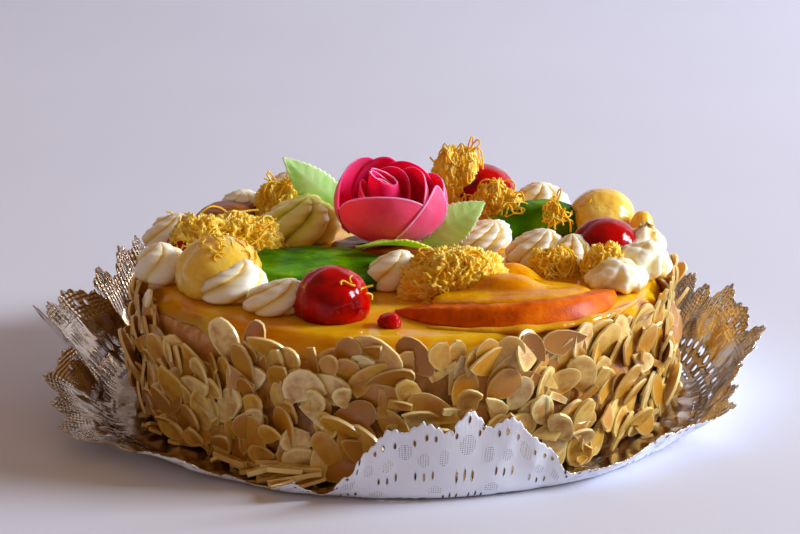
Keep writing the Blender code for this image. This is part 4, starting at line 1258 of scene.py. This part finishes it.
def stray_threads(tree):
    """Threads that fell on the fruit and the cream: on both apricots, the front cherry and the back slice."""
    draw = random.Random(SEED)
    # Place and size of the lump they lie on, where on it they start, how many, their steps and their lift.
    falls = [
        ((-67, -35, 0), (16.4, 16.4, 20.3), (0.45, -0.5, 0.8), 26, (8, 22), 0.05),
        ((-67, -35, 0), (16.4, 16.4, 20.3), (-0.1, 0.1, 1.0), 12, (8, 22), 0.08),
        ((-25, -66, 2), (14.5, 14.5, 16.8), (0.68, -0.5, 0.62), 4, (5, 8), 0.3),
        ((60, 37, 0), (8, 8, 16.5), (-0.3, -0.6, 0.7), 30, (6, 16), 0.18),
        ((45, 40, 0), (10, 8, 14.0), (-0.3, -0.4, 0.9), 10, (6, 16), 0.1),
        ((28, 24, 0), (9, 9, 11.5), (0.8, -0.3, 0.4), 10, (5, 12), 0.15),
        ((-88, 18, 0), (9, 9, 14.5), (0.7, 0.1, 0.7), 12, (5, 14), 0.12),
        ((78, 44, 1), (14.0, 14.0, 17.6), (-0.7, -0.6, 0.5), 6, (6, 14), 0.08),
    ]
    paths = []
    for place, size, start, count, (fewest, most), stand in falls:
        for _ in range(count):
            path = wander(draw, size, place[0], draw.randint(fewest, most), stand, start=start)
            paths.append([Vector(place) + spot for spot in path])
    dress(thread_paths("stray_egg_threads", paths, tree, (0, 0, SYRUP_FOOT), SEED), "egg_thread")


# Rose and leaves


def cup_point(azimuth, radius, height):
    """A point of the rose's cup, which is widest at its girth and closes a little above it."""
    reach = (height - ROSE_MIDDLE) / (ROSE_MIDDLE if height < ROSE_MIDDLE else ROSE_RISE * 1.45)
    return polar(radius * math.sqrt(max(0.0, 1 - reach * reach)), azimuth, height)


def petal(number, first, last, radius, peak, top, start, end, rounding, rounding_after, x, y):
    """One petal, thin and a little wavy. The sheet's own face looks into the cup."""
    rows, rim = [], []
    for r in range(25):
        up = r / 24
        row = []
        for c in range(65):
            across = 0.5 - 0.5 * math.cos(math.pi * c / 64)
            if across < peak:
                away, low, power = (peak - across) / peak, start, rounding
            else:
                away, low, power = (across - peak) / (1 - peak), end, rounding_after
            lip = low + (top - low) * max(0.0, 1 - away**power) ** (1 / power)
            height = 0.3 + (lip - 0.3) * (1 - (1 - up) ** 1.6)
            azimuth = first + (last - first) * across
            turned = max(0.0, up - 0.86) / 0.14
            wave = 0.2 * math.sin(number + across * 7) * up
            point = cup_point(azimuth, radius + wave, height)
            point += polar(0.45 * turned * turned, azimuth)
            point += Vector((x, y, 0)) + point.normalized() * 0.2 * rough(point, 7, 2)
            row.append(point)
            rim.append(max(0.0, (up - 0.75) / 0.25))
        rows.append(row)
    points, faces = sheet(rows)
    faces = [tuple(reversed(face)) for face in faces]
    part = made_object(f"petal_{number}", points, faces, [PINK_INSIDE, PINK_OUTSIDE_PAINTED_SHEEN], fields={"rim": rim})
    return thick(part, WAFER, other_side=1)


def rose():
    """Wafer petals in a cup round a rolled bud."""
    petals = [petal(number, *row) for number, row in enumerate(PETALS)]
    made = joined("wafer_rose", [*petals, bud()], [PINK_INSIDE, PINK_OUTSIDE_PAINTED_SHEEN])
    x, y, z = ROSE_PLACE
    place = Matrix.Translation(Vector((x, y, z + GLAZE_TOP)) * MM)
    made.data.transform(place @ Matrix.Rotation(math.radians(ROSE_TILT), 4, "X"))
    made.data.shade_smooth()
    dress(made, "pink_wafer", "rose")


def bud():
    """A tight roll of wafer. Its outer turn is highest, slopes to the right and is crinkled at its left."""
    rows, rim = [], []
    columns = 220
    for r in range(19):
        up = r / 18
        row = []
        for c in range(columns):
            share = c / (columns - 1)
            turn = 100 + 1120 * share
            radius = 0.6 + 6.1 * share**0.75
            spot = polar(radius, turn)
            outermost = eased([(0, 0), (0.6, 0), (0.7, 1), (1, 1)], share)
            top = 21.6 + outermost * 2.4 - 0.42 * spot.x
            crinkle = 0.3 * math.sin(math.radians(turn) * 10) * max(0.0, up - 0.86) / 0.14
            crinkle *= outermost * max(0.15, -math.cos(math.radians(turn - 20)))
            cup = 1 + 0.12 * math.sin(math.pi * min(1.0, up)) - 0.12 * up**3
            spot = polar(radius * cup + crinkle, turn, 4 + (top - 4) * up + crinkle)
            row.append(spot + Vector((-3.0, 2.5, 0)))
            rim.append(max(0.0, (up - 0.92) / 0.08))
        rows.append(row)
    points, faces = sheet(rows)
    made = made_object("bud", points, faces, [PINK_INSIDE, PINK_INSIDE], fields={"rim": rim})
    return thick(made, WAFER * 0.8)


def leaf(name, finish, base_x, base_y, base_z, tip_x, tip_y, tip_z, half_width, roll, widest):
    """A pressed wafer leaf: toothed edge, a groove along its middle and veins that run to the teeth."""
    base, tip = Vector((base_x, base_y, base_z)), Vector((tip_x, tip_y, tip_z))
    ahead = tip - base
    side = ahead.cross(Vector((0, 0, 1))).normalized()
    side = Matrix.Rotation(math.radians(roll), 3, ahead) @ side
    up = side.cross(ahead).normalized()
    rows, rim = [], []
    steps, columns = 96, 17
    skew = math.log(0.5) / math.log(widest)
    for i in range(steps + 1):
        along = i / steps
        tooth = (along * 15) % 1
        width = half_width * max(0.04, math.sin(math.pi * along**skew)) ** 0.85 * (0.9 + 0.12 * tooth)
        bow = math.sin(math.pi * along) * ahead.length * 0.06
        row = []
        for k in range(columns):
            across = 2 * k / (columns - 1) - 1
            vein = 0.14 * abs(math.sin(math.pi * (along * 7.5 - abs(across) * 0.9)))
            fold = width * 0.22 * abs(across) - vein * min(1.0, abs(across) * 3)
            wave = 0.4 * math.sin(along * 9 + across * 2) * abs(across)
            row.append(base + ahead * along + side * width * across + up * (bow + fold + wave))
            rim.append(max(0.75 * (abs(across) < 0.1), (abs(across) - 0.8) / 0.2, 0.0))
        rows.append(row)
    points, faces = sheet(rows)
    made = made_object(f"{name}_wafer", points, faces, [finish], (0, 0, GLAZE_TOP), {"rim": rim})
    dress(thick(made, WAFER), "green_wafer", name)


# Studio


def sweep():
    """A sheet of pale paper that is floor and backdrop in one curve."""
    front, bend, radius, top = -1500, 1000, 300, 1600
    low = -0.05  # a hair under the doily
    profile = [(front, low), (bend, low)]
    for tilt in range(10, 91, 10):
        turn = math.radians(tilt)
        profile.append((bend + radius * math.sin(turn), radius - (radius - low) * math.cos(turn)))
    profile.append((bend + radius, top))
    paper = made_object("paper_sweep", *sheet([[(-2000, y, z), (2000, y, z)] for y, z in profile]), [])
    made, tree, shader, mm = new_material("sweep paper", Roughness=0.8)
    cloud = add(tree, "ShaderNodeTexNoise", {"Vector": mm, "Scale": 0.004, "Detail": 2.0})
    tone = add(tree, "ShaderNodeValToRGB", {0: cloud}, [(0.3, "#D6D9E6"), (0.7, "#DADDEA")])
    tree.links.new(tone.outputs[0], shader.inputs["Base Color"])
    paper.data.materials.append(made)
    paper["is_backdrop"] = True


def studio():
    """The paper sweep, one soft lamp at the right, dim warm air and the camera."""
    sweep()
    scene = bpy.context.scene
    world = bpy.data.worlds.new("studio air")
    scene.world = world
    world.use_nodes = True
    air = world.node_tree.nodes["Background"]
    air.inputs[0].default_value = hue("#FFCEA6")
    air.inputs[1].default_value = 0.30

    lamp = bpy.data.lights.new("soft lamp", "AREA")
    lamp.shape = "RECTANGLE"
    lamp.size, lamp.size_y = 0.8, 0.9
    lamp.energy = 98
    lamp.color = hue("#EEF4FF")[:3]
    made = bpy.data.objects.new("soft lamp", lamp)
    made.location = (2.3, 0.05, 1.0)
    made.rotation_euler = (Vector((0, 0, 0.05)) - made.location).to_track_quat("-Z", "Y").to_euler()
    scene.collection.objects.link(made)

    camera = bpy.data.cameras.new("camera")
    camera.lens = CAMERA_LENS
    camera.sensor_width = 36
    camera.clip_start = 0.05
    made = bpy.data.objects.new("camera", camera)
    tilt = math.radians(CAMERA_TILT)
    x, height = CAMERA_AIM
    made.location = Vector((x, -CAMERA_AWAY * math.cos(tilt), height + CAMERA_AWAY * math.sin(tilt))) * MM
    made.rotation_euler = (math.radians(90) - tilt, 0, 0)
    scene.collection.objects.link(made)
    scene.camera = made
    scene.view_settings.view_transform = "Standard"


def main():
    """Dresses the cake from its doily upwards."""
    studio()
    doily()
    coat()
    glaze()
    pool()
    fillet()
    almonds(scatter_tree())
    for name, row in CHERRIES.items():
        round_fruit(name, CHERRY, "glace_cherry", *row)
    for name, row in APRICOTS.items():
        round_fruit(name, APRICOT, "candied_apricot", *row)
    for name, row in CRESCENTS.items():
        crescent(name, *SLICE_FINISHES[name], *row)
    for name, row in SLABS.items():
        slab(name, *SLICE_FINISHES[name], *row)
    for name, row in CREAMS.items():
        piped(name, *row)
    dollop()
    strands = strand_tree()
    for name, row in THREAD_HEAPS.items():
        thread_heap(name, strands, *row)
    stray_threads(strands)
    rose()
    for name, row in LEAVES.items():
        leaf(name, BRIGHT_WAFER if name == "leaf_front" else GREEN_WAFER, *row)


main()

boxes = {"cad": solid_box, "visual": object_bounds()}
{name: [[float(v) for v in corner] for corner in box] for name, box in boxes.items()}
